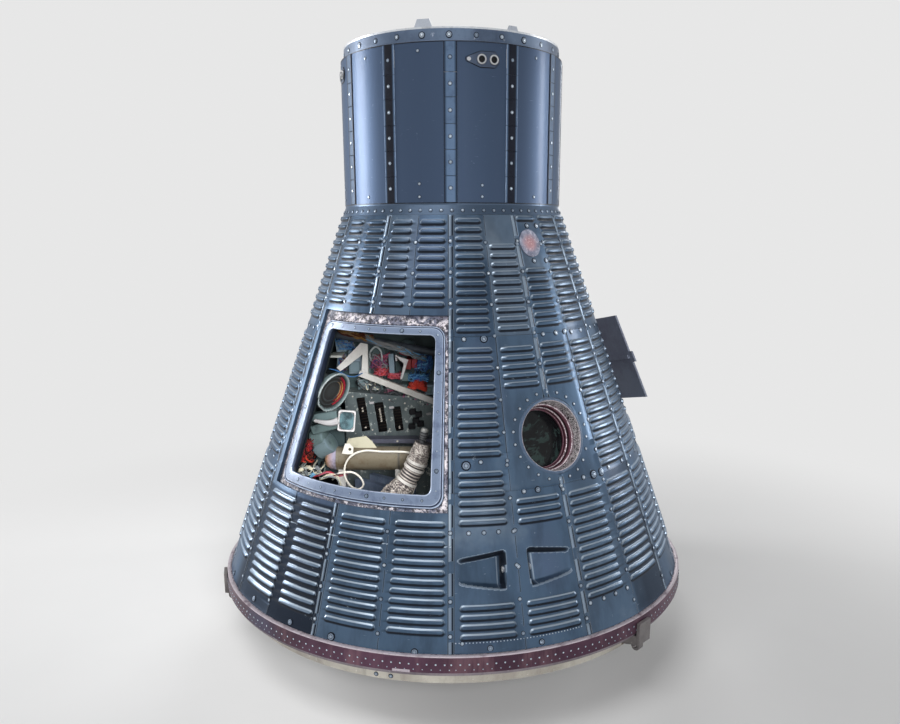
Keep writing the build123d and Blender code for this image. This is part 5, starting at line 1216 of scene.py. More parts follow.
def neck_fittings():
    """Screws of the strips and panels, pitch nozzles, bolts round the top ring and its light upper edge."""
    screws = Sheetwork()
    az, z = np.meshgrid(30.0 * np.arange(12) - 0.1, TILE_SCREWS, indexing="ij")
    repeat(screws, SCREW, drum_frame(az.ravel(), z.ravel(), NECK_R + STRIP_PROUD), 0.0056, np.tile([0.2, 0.9, 0.95, 1.0, 0.5, 0.9], 12))
    spots = ((-15.0, 2.228), (15.0, 1.8), (-15.0, 1.805), (-15.0, 1.762), (15.0, 1.762), (45.0, 2.226), (45.0, 1.765))
    az, z = np.array([(a + da, z) for a in range(0, 360, 90) for da, z in spots]).T
    repeat(screws, SCREW, drum_frame(az, z, NECK_R), 0.0046, 0.7)
    bolts = np.arange(28) * 360 / 28.0 - 0.5
    repeat(screws, SCREW, drum_frame(bolts, 2.2775, 0.404), np.where(np.arange(28) % 3 == 0, 0.0086, 0.0068),
            np.where(np.arange(28) % 4 == 1, 0.1, 0.8))
    screws.finish("neck_screws", fastener_metal("fastener"), "ring_metal")
    nozzles = Sheetwork()
    x, y = 0.057, 0.024
    corners = [(-x, 0.005), (-x, -0.005), (-0.01, -y), (x - 0.015, -y), (x, -0.008), (x, 0.008), (x - 0.015, y), (-0.01, y), (-x, 0.005)]
    plate = even_path(np.array([(*corner, 0.0) for corner in corners]), 0.004)[:-1]
    edge = unit(np.roll(plate, -1, 0) - np.roll(plate, 1, 0))
    foot = plate + 0.0022 * np.stack([edge[:, 1], -edge[:, 0], edge[:, 2]], -1)
    for quarter in range(0, 360, 90):
        for a in NOZZLE_AZ:
            lathe(nozzles, mm((16.8, -1), (16.8, 2.2), (15, 4.6), (12.2, 4.8), (10.4, 4), (9.6, 2.6), (4, 2.4), (0.4, 2.4)),
                  drum_frame(quarter + a, 2.201, NECK_R + 0.0024), 32, tones=[0.1, 0.3, 0.85, 0.95, 0.25, 0.0, 0.0, 0.0])
        repeat(nozzles, SCREW, drum_frame(quarter + 8.6, 2.201, NECK_R + 0.0024), 0.0062, 0.9)
        # the pitch plates' edge walls are painted black, painted shade round each plate
        rims = [on_drum(quarter + 15.1 + np.degrees(loop[:, 0] / NECK_R), 2.201 + loop[:, 1], NECK_R + out)
                for loop, out in ((plate, 0.0027), (foot, 0.0002))]
        nozzles.grid(np.stack(rims), wrap_v=True, away=(0, 0, 2.201), tone=0.0)
    nozzles.finish("pitch_nozzles", nozzle_metal(), "nozzle")
    rim = Sheetwork()
    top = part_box("top_ring")[1][2]
    upper = mm((403.6, -6), (404.6, -4), (404.4, 0.6), (401, 1.2), (395, 0.8), (395, -1)) + (0, top)
    hoop(rim, upper, top - 0.002, 0.9)
    lower = mm((403.6, 2255.5), (406.2, 2256), (406.6, 2258.8), (404.6, 2260.4), (403.6, 2260.4))
    hoop(rim, lower, 2.258, 0.35)
    # painted shadow: thin black bands at the foot of the neck panels and under the top ring
    for z in (1.7415, 2.2548):
        groove = mm((-1.2, 1.6), (0.8, 1.4), (0.8, -1.4), (-1.2, -1.6)) + (NECK_R, z)
        hoop(rim, groove, z, 0.0, closed=False)
    pale = toned_paint("rim_metal", ((0, (14, 18, 26)), (0.3, (92, 106, 130)), (1, (198, 202, 206))), 0.5, 0.28, 180.0,
                       rgb(60, 68, 84), 0.8)
    rim.finish("top_rim", pale, "ring_metal")


# ---------- cabin
LINING = WALL + 0.002
LINING_HOOPS = (0.655, 0.745, 1.345, 1.5)


def lining_out(az, z):
    """Depth of the inner skin: ribs every 15 degrees and four hoops stand in from it."""
    rib = np.abs((az + 7.5) % 15.0 - 7.5) * np.pi / 180 * cone_r(z)
    hoop = np.min([np.abs(z - h) for h in LINING_HOOPS], axis=0)
    lift = np.maximum(soft_step((0.01 - rib) / 0.003), soft_step((0.011 - hoop) / 0.003))
    return -LINING - 0.012 * lift, lift


def cabin_lining():
    """The inner skin: a cone inset behind the panels with ribs and hoops, open at the hatch, the portholes and the doorway."""
    hatch = (-53.6, -3.6, 0.7835, 1.3225)
    doorway = (DOORWAY[0] - 0.4, DOORWAY[1] + 0.4, DOORWAY[2] - 0.006, DOORWAY[3] + 0.006)
    flanks = np.array([-0.012, -0.0095, -0.007, 0.007, 0.0095, 0.012])
    ribs = [15.0 * k + np.append(np.degrees(flanks / cone_r(1.0)), 7.5) for k in range(-6, 18)]
    az = np.concatenate(ribs + [window[:2] for window in (hatch, doorway, *PORT_CELLS)])
    az = np.unique(np.round((az + 90.0) % 360.0 - 90.0, 3))
    levels = [np.linspace(FLOOR_Z + 0.001, 1.658, 24)] + [h + flanks for h in LINING_HOOPS]
    z = np.unique(np.round(np.concatenate(levels + [hatch[2:], doorway[2:], PORT_CELL[2:]]), 4))
    az, zz = np.meshgrid(az, z, indexing="ij")
    out, lift = lining_out(az, zz)
    p = on_cone(az, zz, out)
    work = Sheetwork()
    work.grid(p, wrap_u=True, keep=closed_cells(az, zz, [hatch, doorway] + PORT_CELLS), toward=AXIS_POINT, tone=0.35 + 0.3 * lift)
    for a in PORTHOLES:
        work.grid(on_cone(*port_patch(a, 0.1335, 96, 4)[:2], -LINING), wrap_v=True, toward=AXIS_POINT, tone=0.4)
    paint = toned_paint("lining_paint", ((0, (22, 26, 28)), (0.35, (52, 60, 62)), (0.65, (84, 92, 92)), (1, (120, 124, 120))),
                        0.15, 0.5, 90.0, rgb(30, 32, 34), 0.6)
    work.finish("cabin_lining", paint, "inner_metal", crease=30.0)


def upright(x, y, z, turn=0.0, lean=0.0):
    """A place in millimetres that faces the hatch: normal towards -Y, turned about Z and leaned in its own plane, in degrees."""
    c, s = math.cos(math.radians(turn)), math.sin(math.radians(turn))
    side, up = np.array([c, s, 0.0]), np.array([0.0, 0, 1])
    a = math.radians(lean)
    across, over = side * math.cos(a) + up * math.sin(a), up * math.cos(a) - side * math.sin(a)
    return mm(x, y, z), across, over, np.cross(across, over)


def aimed(at, normal, side=(0.0, 0, 1)):
    """A place that faces along a direction: its x is square to that and to side."""
    n = unit(np.array(normal))
    x = unit(np.cross(side, n))
    return np.asarray(at), x, np.cross(n, x), n


# tones of the colours that share one enamel
BLACK, SILVER, GOLD, BROWN, RED, ORANGE, PINK, VIOLET, BLUE, SKY, CREAM = 0.0, 0.1, 0.2, 0.3, 0.4, 0.5, 0.6, 0.7, 0.8, 0.9, 1.0
ENAMEL = ((0, (20, 20, 24)), (0.1, (132, 138, 142)), (0.2, (164, 124, 66)), (0.3, (84, 46, 34)), (0.4, (166, 34, 56)),
          (0.5, (206, 74, 50)), (0.6, (178, 92, 108)), (0.7, (84, 68, 116)), (0.8, (44, 92, 158)), (0.9, (118, 176, 214)),
          (1, (226, 220, 196)))
GREENISH = ((0, (24, 28, 32)), (0.3, (64, 78, 80)), (0.5, (98, 116, 116)), (0.7, (128, 146, 160)), (1, (206, 208, 200)))


def enamel():
    return toned_paint("wire_enamel", ENAMEL, 0.05, 0.32, 300.0, rgb(30, 26, 28), 0.25)


def equipment_paint():
    return toned_paint("equipment_grey", GREENISH, 0.12, 0.4, 200.0, rgb(40, 46, 50), 0.7)


def strands(work, route, count, spread, radius, tones, seed):
    """A bundle of wires along one route: each strand keeps its own slowly changing place across the bundle."""
    rng = np.random.default_rng(seed)
    path = even_path(smooth_path(route), 0.01)
    t = np.linspace(0, 1, len(path))[:, None]
    _, side, other = along(path, (0.05, -0.3, 1.0))
    for k in range(count):
        a, b, c, d = rng.uniform(0, 6.28, 4)
        u = np.sin(t * rng.uniform(2, 9) + a) * 0.6 + np.sin(t * rng.uniform(12, 22) + b) * 0.3
        v = np.sin(t * rng.uniform(2, 9) + c) * 0.6 + np.sin(t * rng.uniform(12, 22) + d) * 0.3
        tube(work, path + spread * (u * side + v * other), radius * rng.uniform(0.75, 1.2), 5, tone=tones[k % len(tones)])


def tangle(work, low, high, plate_y, count, radius, tones, seed):
    """Loose looms in a box given in millimetres: each wire leaves a plate, wanders through the box and goes back to the plate."""
    rng = np.random.default_rng(seed)
    low, high, plate_y, radius = mm(*low), mm(*high), plate_y / 1000, radius / 1000
    for k in range(count):
        p = rng.uniform(low, high, (4, 3))
        p = p[np.argsort(p[:, 0] + rng.uniform(-0.01, 0.01, 4))] if k % 2 else p[np.argsort(p[:, 2])]
        ends = np.array([[p[0, 0], plate_y, p[0, 2]], [p[-1, 0], plate_y, p[-1, 2]]])
        route = np.vstack([ends[:1], p, ends[1:]])
        tube(work, even_path(smooth_path(route), 0.009), radius * rng.uniform(0.8, 1.25), 5, tone=tones[k % len(tones)])


def block(work, x0, x1, z0, z1, back, front, tone, lean=0.0, corner=3, bevel=2.2):
    """A box on an upright plate, from the plane y = back forward to y = front; its sizes are in millimetres."""
    wide, high, deep, corner, bevel = mm(x1 - x0, z1 - z0, back - front, corner, bevel)
    place = upright((x0 + x1) / 2, back, (z0 + z1) / 2, 0.0, lean)
    slab(work, rounded(wide, high, corner, 3), 0.0, deep, place, bevel, tone=tone)


PLATE = 140  # how far behind the axis the equipment's plate stands, in millimetres
PLATE_Y = PLATE / 1000


def equipment_bay():
    """Plate behind the struts that stands on the console, with its boxes, brackets, dome and struts' shoes."""
    work = Sheetwork()
    block(work, -498, -64, 930, 1223, PLATE + 10, PLATE, 0.32, corner=20)
    block(work, -440, -395, 1062, 1109, 96, 90, 0.6)
    block(work, -517, -465, 1132, 1142, PLATE, 50, 0.97, corner=2, bevel=1.2)
    block(work, -113, -93, 978, 1003, 64, 58, 0.5, lean=-3)
    boxes = (  # limits in x and in z, front, tone, lean in degrees
        (-444, -388, 1056, 1155, 96, 0.72, 0), (-381, -353, 1058, 1124, 102, 0.5, 0), (-496, -451, 1150, 1197, 92, 0.66, 6),
        (-493, -456, 1083, 1140, 98, 0.62, -4), (-272, -249, 1060, 1145, 74, 0.66, 3), (-218, -186, 1027, 1063, 76, 0.5, 0),
        (-118, -80, 970, 1013, 64, 0.66, -3), (-406, -360, 990, 1035, 78, 0.55, 0), (-353, -297, 986, 1027, 84, 0.42, 0),
        (-246, -195, 971, 1009, 82, 0.48, 4), (-348, -289, 1094, 1180, 106, 0.34, 0),
    )
    for *limits, front, tone, lean in boxes:
        block(work, *limits, PLATE, front, tone, lean)
    lathe(work, mm((34, -10), (34, 6), (31, 16), (24, 26), (13, 32), (0.5, 34)), upright(-192, 110, 1168), 28, tone=0.55)
    loop = smooth_path([(-0.344, PLATE_Y, 1.106), (-0.347, 0.072, 1.119), (-0.349, 0.066, 1.15), (-0.325, 0.066, 1.176),
            (-0.304, 0.068, 1.158), (-0.3, 0.072, 1.124), (-0.31, PLATE_Y, 1.1)])
    tube(work, even_path(loop, 0.006), 0.0042, 8, tone=0.85)
    work.finish("equipment_bay", equipment_paint(), "console_grey", crease=35.0)
    colour = Sheetwork()
    block(colour, -224, -180, 1140, 1174, PLATE, 58, RED, lean=-16)
    block(colour, -201, -176, 1080, 1125, PLATE, 60, BROWN + 0.03, lean=-6)
    block(colour, -174, -152, 1086, 1125, PLATE, 58, BROWN + 0.055, lean=-6)
    for x, z in ((-172, 905), (-147, 893), (-158, 868), (-176, 842), (-139, 852)):
        block(colour, x - 14, x + 14, z - 11, z + 11, 46, 18, BLACK, lean=7)
    colour.finish("coloured_boxes", enamel(), "console_grey", crease=35.0)
    brackets = Sheetwork()
    triangle = mm((-26.5, 40), (30, 22), (2, -62), (-6, -62), (10, 4))
    slab(brackets, triangle, 0.0, 0.0035, upright(-217, 52, 1102), 0.0008, tone=0.8)
    block(brackets, -242, -235, 1117, 1140, PLATE, 52, 0.6, corner=1, bevel=0.6)
    block(brackets, -223, -217, 1040, 1054, PLATE, 52, 0.6, corner=1, bevel=0.6)
    for x, z in ((-345, 940), (-262, 920), (-105, 892)):
        block(brackets, x - 10, x + 10, z - 5, z + 5, 46, 40, 0.5, lean=7)
    white = toned_paint("bracket_white", ((0, (90, 88, 90)), (0.5, (178, 176, 178)), (1, (226, 224, 224))), 0.05, 0.4, 200.0,
                        rgb(120, 116, 114), 0.5)
    brackets.finish("white_brackets", white, "white_paint", crease=30.0)


def looms():
    """Wire bundles, looms and connectors between the duct, the struts and the console."""
    work = Sheetwork()
    strands(work, mm((-486, 30, 1262), (-455, -4, 1250), (-410, -10, 1240), (-362, -6, 1224), (-330, 34, 1215)),
            22, 0.014, 0.0024, (GOLD, GOLD + 0.03, BROWN, GOLD - 0.03, BROWN + 0.01), 2)
    route = mm((-385, 34, 1235), (-355, -2, 1220), (-300, -6, 1202), (-240, -6, 1184), (-190, -4, 1166), (-150, 0, 1146), (-118, 30, 1128))
    strands(work, route, 18, 0.013, 0.0026, (SILVER, SILVER + 0.01, SILVER - 0.03, SKY - 0.02, SILVER - 0.05), 3)
    boxes = (  # low and high corner, number of wires, their radius in millimetres, tones
        ((-353, 74, 1070), (-268, 124, 1145), 26, 1.8, (PINK, VIOLET, RED - 0.08, PINK + 0.03, SILVER, VIOLET - 0.04)),
        ((-333, 52, 1054), (-274, 94, 1080), 18, 2.1, (PINK, PINK - 0.05, RED + 0.03, ORANGE + 0.06)),
        ((-278, 52, 1037), (-217, 94, 1062), 20, 2.1, (PINK - 0.03, RED, PINK, ORANGE + 0.05)),
        ((-164, 54, 1068), (-89, 114, 1150), 46, 2, (BLUE, BLUE + 0.02, SKY - 0.03, BLUE - 0.03, SKY, VIOLET + 0.05)),
        ((-190, 52, 1027), (-101, 94, 1060), 30, 2, (BLUE, SKY - 0.04, BLUE + 0.03, SKY)),
        ((-491, 64, 1068), (-450, 114, 1140), 14, 1.8, (GOLD, SILVER, VIOLET, BROWN, SKY - 0.05)),
        ((-496, 70, 1155), (-414, 114, 1206), 18, 1.9, (BLUE - 0.02, SILVER, BLUE + 0.04, SKY - 0.06)),
        ((-409, 68, 986), (-297, 114, 1037), 22, 1.9, (SILVER, BLACK, SILVER + 0.02, BLACK + 0.03, CREAM)),
        ((-297, 68, 961), (-210, 114, 1012), 22, 1.9, (SILVER, BLACK, BLACK + 0.02, SILVER - 0.02, PINK + 0.03)),
        ((-205, 70, 910), (-82, 114, 966), 26, 1.9, (PINK + 0.04, SILVER, BLACK, BLACK + 0.03, SILVER + 0.01, RED)),
    )
    for seed, (low, high, count, radius, tones) in enumerate(boxes, 4):
        tangle(work, low, high, PLATE, count, radius, tones, seed)
    rng = np.random.default_rng(14)
    for k in range(34):
        a = math.radians(-20 + 220 * k / 33.0)
        reach = 0.034 * rng.uniform(0.8, 1.05)
        hub = np.array([-0.152, 0.06, 1.001])
        tip = hub + np.array([math.cos(a) * reach * 1.15, rng.uniform(-0.018, -0.004), math.sin(a) * reach])
        route = [(hub[0], PLATE_Y, hub[2]), hub, (hub + tip) / 2 + (0, -0.008, 0.002), tip, tip + (0.004, 0.04, 0.001),
                (tip[0], PLATE_Y, tip[2])]
        tube(work, even_path(smooth_path(route, 5), 0.007), 0.002, 5, tone=(ORANGE, ORANGE - 0.03, RED + 0.06, ORANGE + 0.03)[k % 4])
    for *centre, reach in ((-252, 58, 963, 23), (-330, 66, 994, 20), (-184, 66, 938, 13)):
        centre, reach = mm(*centre), reach / 1000
        a, b = circle(24)[:, None], circle(8)[None, :, None]
        ring = centre + np.hstack([reach * np.cos(a), 0.01 * np.sin(a + 0.6), reach * 0.8 * np.sin(a)])
        coil = ring[:, None] + 0.0052 * (np.cos(b) * unit(ring - centre)[:, None] + np.sin(b) * np.array([0.0, 1, 0]))
        work.grid(coil, wrap_u=True, wrap_v=True, flip=True, tone=BLACK + 0.02)
        for aside, radius, sides, tone in ((0, 0.006, 8, SILVER), (reach, 0.003, 6, BLACK)):
            foot = centre - (aside, 0, 0)
            tube(work, [foot, (foot[0], PLATE_Y, foot[2])], radius, sides, tone=tone)
    for k in range(13):
        x, z = -210 + 10 * k, 966 - 3.7 * k + 4 * (k % 3)
        lathe(work, mm((4.6, -80), (4.6, 10), (3.8, 11.5), (3.6, 18), (0.4, 18.5)), upright(x, 62, z), 8,
                tone=(PINK + 0.05, SILVER, CREAM - 0.02, SILVER, BLACK)[k % 5])
    line = mm((-500, -60, 1104), (-478, -64, 1101), (-450, -64, 1088), (-425, -60, 1074), (-400, -40, 1069), (-378, 20, 1072))
    tube(work, even_path(smooth_path(line), 0.006), 0.0026, 7, tone=SKY - 0.08)
    work.finish("wire_looms", enamel(), "duct_grey", crease=50.0)


def console_fittings():
    """Dark liners in the console's three slots with their small bright levers, and screws along the ledge."""
    liners, levers = Sheetwork(), Sheetwork()
    slots = (  # x, z, width, height, lean in degrees, heights of the levers
        (-382, 890, 36, 146, 8, (26, 14, -58)), (-308, 878, 38, 128, 8, (34, 26, 18, 10, 0, -10, -18)), (-235, 871, 34, 106, 7, (-36, -42)),
    )
    for x, z, *size, lean, marks in slots:
        place = upright(x, 45, z, 0.0, lean)
        w, h = mm(*size)
        o, a, b, n = place
        loop = rounded(w - 0.0012, h - 0.0012, 0.0025, 4)
        rings = np.stack([at_depth(place, loop, -d) for d in (0.0004, 0.0225)])
        liners.grid(rings, wrap_v=True, toward=o, tone=0.1)
        liners.fan(rings[1], tone=0.0)
        for s in np.arange(-h / 2 + 0.012, h / 2 - 0.008, 0.0125):
            slab(liners, rounded(w - 0.006, 0.0022, 0.001, 2), 0.0, 0.006, (o + s * b - 0.0225 * n, a, b, n), 0.0004, tone=0.35)
        for s in mm(*marks):
            tilt = (o + s * b - 0.021 * n, a, b, n)
            lathe(levers, mm((3, 0), (2.2, 10), (2, 14), (3.6, 16), (3.6, 21), (0.4, 22.5)), tilt, 10, tones=[0.3, 0.4, 0.6, 0.9, 1.0, 1.0])
    black = toned_paint("slot_black", ((0, (10, 10, 12)), (1, (70, 58, 48))), 0.1, 0.45, 200.0, rgb(24, 20, 20), 0.4)
    liners.finish("console_liners", black, "console_grey")
    levers.finish("console_levers", toned_paint("lever_white", ((0, (70, 70, 70)), (1, (236, 228, 214))), 0.3, 0.3), "console_grey")
    screws = Sheetwork()
    for x in (-345, -235, -120):
        lathe(screws, mm((4.6, 0), (4.6, 1.2), (3, 2), (0.4, 2.2)), upright(x, -15.3, 788), 10, tones=[0.3, 0.8, 1.0, 1.0])
    for x, z in ((-425, 968), (-345, 962), (-270, 952), (-428, 830), (-345, 822), (-272, 826), (-205, 938)):
        lathe(screws, mm((3.6, 0), (3.6, 1), (2.4, 1.6), (0.4, 1.8)), upright(x, 45, z), 10, tones=[0.3, 0.6, 0.8, 0.8])
    screws.finish("console_screws", toned_paint("lever_white", ()), "console_grey")


def round_dial():
    """The drum-shaped instrument: a dark recessed face with red, brown and gilt crescents in a torn white rim."""
    place = aimed((-0.446, -0.296, 1.055), (0.752, -0.568, -0.336))
    profile = mm((0.4, -84), (38, -84), (45, -78), (47, -30), (48, -24), (70, -22), (74.5, -19), (75.5, -16), (76, -8), (78.5, -5),
            (79.5, 1), (76.5, 3.5), (71.5, 1), (69, -3), (66.8, -12.5), (60, -13), (59, -10.5), (54.5, -10.5), (53.5, -12.8), (44, -12.8),
            (43, -11), (38.5, -11), (37.5, -13.4), (20, -13.6), (0.4, -13.6))
    tones = [0.3, 0.3, 0.34, 0.36, 0.4, 0.45, 0.5, 0.52, 0.54, 0.66, 0.84, 0.78, 0.6, 0.35, 0.12, 0.1, 0.26, 0.26, 0.12, 0.16, 0.28, 0.26,
            0.16, 0.22, 0.24]
    rim = ((profile[:, 1] > -0.009) & (profile[:, 0] > 0.068))[:, None]

    def wave(r, h, a):
        torn = soft_step((np.cos(a - 4.1) - 0.15) / 0.6)
        crumple = 0.0022 * torn * np.sin(a * 23 + 3 * np.sin(a * 7)) + 0.0006 * np.sin(a * 41)
        return r + np.where(rim, crumple, 0.0), h + np.where(rim, 0.8 * crumple * np.cos(a * 17), 0.0)

    work = Sheetwork()
    lathe(work, profile, place, 120, tones=tones, wave=wave)
    grey = toned_paint("dial_grey", ((0, (20, 22, 24)), (0.2, (60, 60, 60)), (0.35, (84, 94, 96)), (0.6, (122, 142, 144)),
                                     (1, (216, 222, 222))), 0.2, 0.36, 260.0, rgb(44, 48, 50), 0.6)
    work.finish("round_dial", grey, "drum", replaces=("dial_drum",))
    bands = Sheetwork()
    o, u, v, n = place
    for radius, wide, lift, tone, first, last in ((0.062, 0.0032, -0.009, RED, -75, 60), (0.056, 0.003, -0.007, BROWN + 0.05, -80, 66),
            (0.05, 0.0026, -0.008, GOLD, -60, 50), (0.0455, 0.0024, -0.009, RED - 0.05, -70, 40),
            (0.0405, 0.0018, -0.0095, GOLD - 0.02, -40, 62)):
        a = np.radians(np.linspace(first, last, 40))
        path = o + radius * (np.cos(a)[:, None] * u + np.sin(a)[:, None] * v) + lift * n
        tube(bands, path, wide * (0.35 + 0.65 * np.sin(np.linspace(0.15, 3.0, 40))), 8, lean=tuple(n), tone=tone)
    bands.finish("dial_bands", enamel(), "drum")


def wing_mirror():
    """The small looking glass: a rolled white frame, its cloudy glass and the flat arm that carries it."""
    place = upright(-398, -322, 951, 8.0, -6.0)
    work = Sheetwork()
    rings, tones = [], []
    section = (  # width, height, corner radius, depth in millimetres, tone
        (60, 76, 6, -10, 0.4), (64, 80, 8, -8, 0.7), (65, 81, 8, 2, 0.85), (63, 79, 8, 4.5, 1), (56, 72, 9, 4.5, 0.95),
        (53.5, 69.5, 10, 2.5, 0.6), (52.5, 68.5, 10, -1, 0.3),
    )
    for *size, tone in section:
        w, h, c, depth = mm(*size)
        loop = rounded(w, h, c, 6)
        rings.append(at_depth(place, loop, depth))
        tones.append(np.full(len(loop), tone))
    work.grid(np.stack(rings), wrap_v=True, tone=np.concatenate(tones), flip=True)
    work.fan(rings[0], flip=True, tone=0.4)
    arm = mm((-428, -321.5, 952), (-448, -322, 945), (-470, -322, 943), (-496, -318, 946), (-520, -312, 950))
    arm = even_path(smooth_path(arm), 0.008)
    tube(work, arm, np.linspace(0.015, 0.006, len(arm)), 8, tone=0.6)
    work.finish("mirror_frame", toned_paint("bracket_white", ()), "mirror_face", replaces=("mirror",), crease=32.0)
    glass = Sheetwork()
    loop = rounded(0.0535, 0.0695, 0.022, 7)
    flat = np.stack([at_depth(place, s * loop, d) for s, d in ((1.0, -0.0008), (0.96, 0.0004), (0.5, 0.001), (0.02, 0.0011))])
    glass.grid(flat, wrap_v=True, tone=0.5, flip=True)
    glass.finish("mirror_glass", mirror_glass("mirror_glass"), "mirror_face")


def supply_tank():
    """The tan bottle on its stands: a turned body with a domed lilac and cream cap, bands, a weld and a neck."""
    place = ((-0.498, -0.254, 0.785), (0, 0, 1), (0, -1, 0), (1, 0, 0))
    profile = mm((0.4, 0), (14, 1.2), (27, 6), (37, 14.5), (43, 26), (45.5, 40), (45.8, 48), (47, 49), (47, 56), (45.8, 57), (46, 120),
            (46, 230), (45.8, 286), (47.2, 287), (47.2, 294), (45.8, 295), (45.8, 325), (44, 340), (38, 353), (27, 362), (14, 365.5),
            (0.4, 366))
    tones = [0.05, 0.05, 0.08, 0.12, 0.16, 0.2, 0.24, 0.62, 0.62, 0.7, 0.72, 0.72, 0.7, 0.45, 0.45, 0.7, 0.72, 0.66, 0.6, 0.5, 0.4, 0.4]

    def wave(r, h, a):
        dent = 0.0009 * ripple(a * 3.0, h * 55.0, 31) + 0.0004 * ripple(a * 11.0, h * 190.0, 32)
        return r + np.where(r > 0.02, dent, 0.0), h

    work = Sheetwork()
    lathe(work, profile, place, 64, tones=tones, wave=wave)
    tan = toned_paint("tank_tan", ((0, (176, 138, 112)), (0.1, (208, 164, 132)), (0.2, (166, 160, 182)), (0.45, (96, 92, 84)),
                                   (0.62, (128, 122, 108)), (0.72, (116, 108, 92)), (1, (176, 170, 156))),
                      0.15, 0.36, 120.0, rgb(92, 76, 56), 0.85)
    work.finish("supply_tank", tan, "tank_tan", replaces=("oxygen_tank",))


def foil_hose():
    """The fat hose of the suit circuit: crumpled foil at its mouth, banded ribs below it and netted foil down to the floor."""
    route = mm((-107, -421, 893), (-118, -421, 852), (-136, -421, 806), (-172, -422, 742), (-212, -424, 680), (-234, -426, 616),
            (-239, -428, 550), (-239, -428, 490.5))
    path = even_path(smooth_path(route, 16), 0.0022)
    s = np.linspace(0, 1, len(path))[:, None]
    band, net = (s > 0.17) & (s < 0.36), s >= 0.36
    mouth = soft_step((0.17 - s) / 0.01)
    base = 0.029 + 0.006 * soft_step((s - 0.02) / 0.08) + 0.026 * soft_step((s - 0.33) / 0.3)
    t, u, v = along(path, (0.0, 1.0, 0.1))
    a = circle(96)[None, :]
    ribs = np.sin(s * 2 * np.pi * 36)
    foil = 0.0026 * np.sin(a * 9 + 4 * np.sin(s * 60 + 2 * a)) * np.sin(s * 150 + 3 * np.sin(a * 4))
    foil = foil + 0.0016 * np.sin(a * 21 + 5 * np.sin(s * 130)) * np.sin(s * 330 + 2 * np.sin(a * 9))
    radius = base + (mouth * foil + band * 0.0022 * ribs + net * 1.3 * foil)
    p = path[:, None] + radius[..., None] * (np.cos(a)[..., None] * u[:, None] + np.sin(a)[..., None] * v[:, None])
    # tone follows the crumples and ribs: painted highlight on each bulge and rib crest, painted shade in each dent and
    # furrow
    tone = held(mouth * (0.62 + 110 * foil) + band * (0.45 + 0.4 * ribs) + net * (0.55 + 150 * foil))
    work = Sheetwork()
    work.grid(p, wrap_v=True, flip=True, tone=tone)
    work.fan(p[0], flip=True, tone=0.2)
    work.fan(p[-1], tone=0.2)
    for at in (0.175, 0.235, 0.365):
        k = int(at * (len(path) - 1))
        profile = mm((0.5, -5.5), (5.2, -5), (5.6, 5), (0.5, 5.5)) + (base[k, 0], 0)
        lathe(work, profile, (path[k], u[k], v[k], t[k]), 48, tones=[0.7, 1.0, 1.0, 0.7])
    seam = path + (base + 0.004) * (0.94 * u + 0.34 * v)
    tube(work, seam[int(0.37 * len(path)):int(0.95 * len(path)):3], 0.0022, 6, tone=0.8)
    silver = toned_paint("hose_foil", ((0, (34, 34, 38)), (0.3, (96, 92, 94)), (0.55, (164, 154, 148)), (0.8, (212, 204, 196)),
                                       (1, (240, 236, 230))), 0.35, 0.28, 220.0, rgb(70, 62, 58), 0.55, 0.7)
    work.finish("foil_hose", silver, "hose", replaces=("suit_hose",), crease=70.0)
    grip = Sheetwork()
    profile = mm((0.4, -30), (10, -29), (11, -4), (9.5, 0), (13, 4), (14, 8), (12.5, 11), (14.5, 14), (15.2, 18), (13.8, 21), (15.5, 24),
            (15.5, 28), (13.8, 31), (14.8, 34), (13.6, 40), (10, 45), (5, 47.5), (0.4, 48))
    # tones: painted shade in the grooves between the ridges, painted highlight on the ridges
    lathe(grip, profile, aimed((-0.108, -0.421, 0.903), (0.22, -0.1, 0.97), (0.0, 1, 0)), 28,
            tones=[0.1, 0.1, 0.25, 0.1, 0.5, 0.4, 0.05, 0.55, 0.4, 0.05, 0.6, 0.4, 0.05, 0.6, 0.75, 0.8, 0.5, 0.5])
    grey = toned_paint("grip_grey", ((0, (24, 24, 28)), (0.5, (110, 112, 114)), (1, (196, 196, 190))), 0.3, 0.35)
    grip.finish("hand_grip", grey, "black_metal", replaces=("hand_controller",))


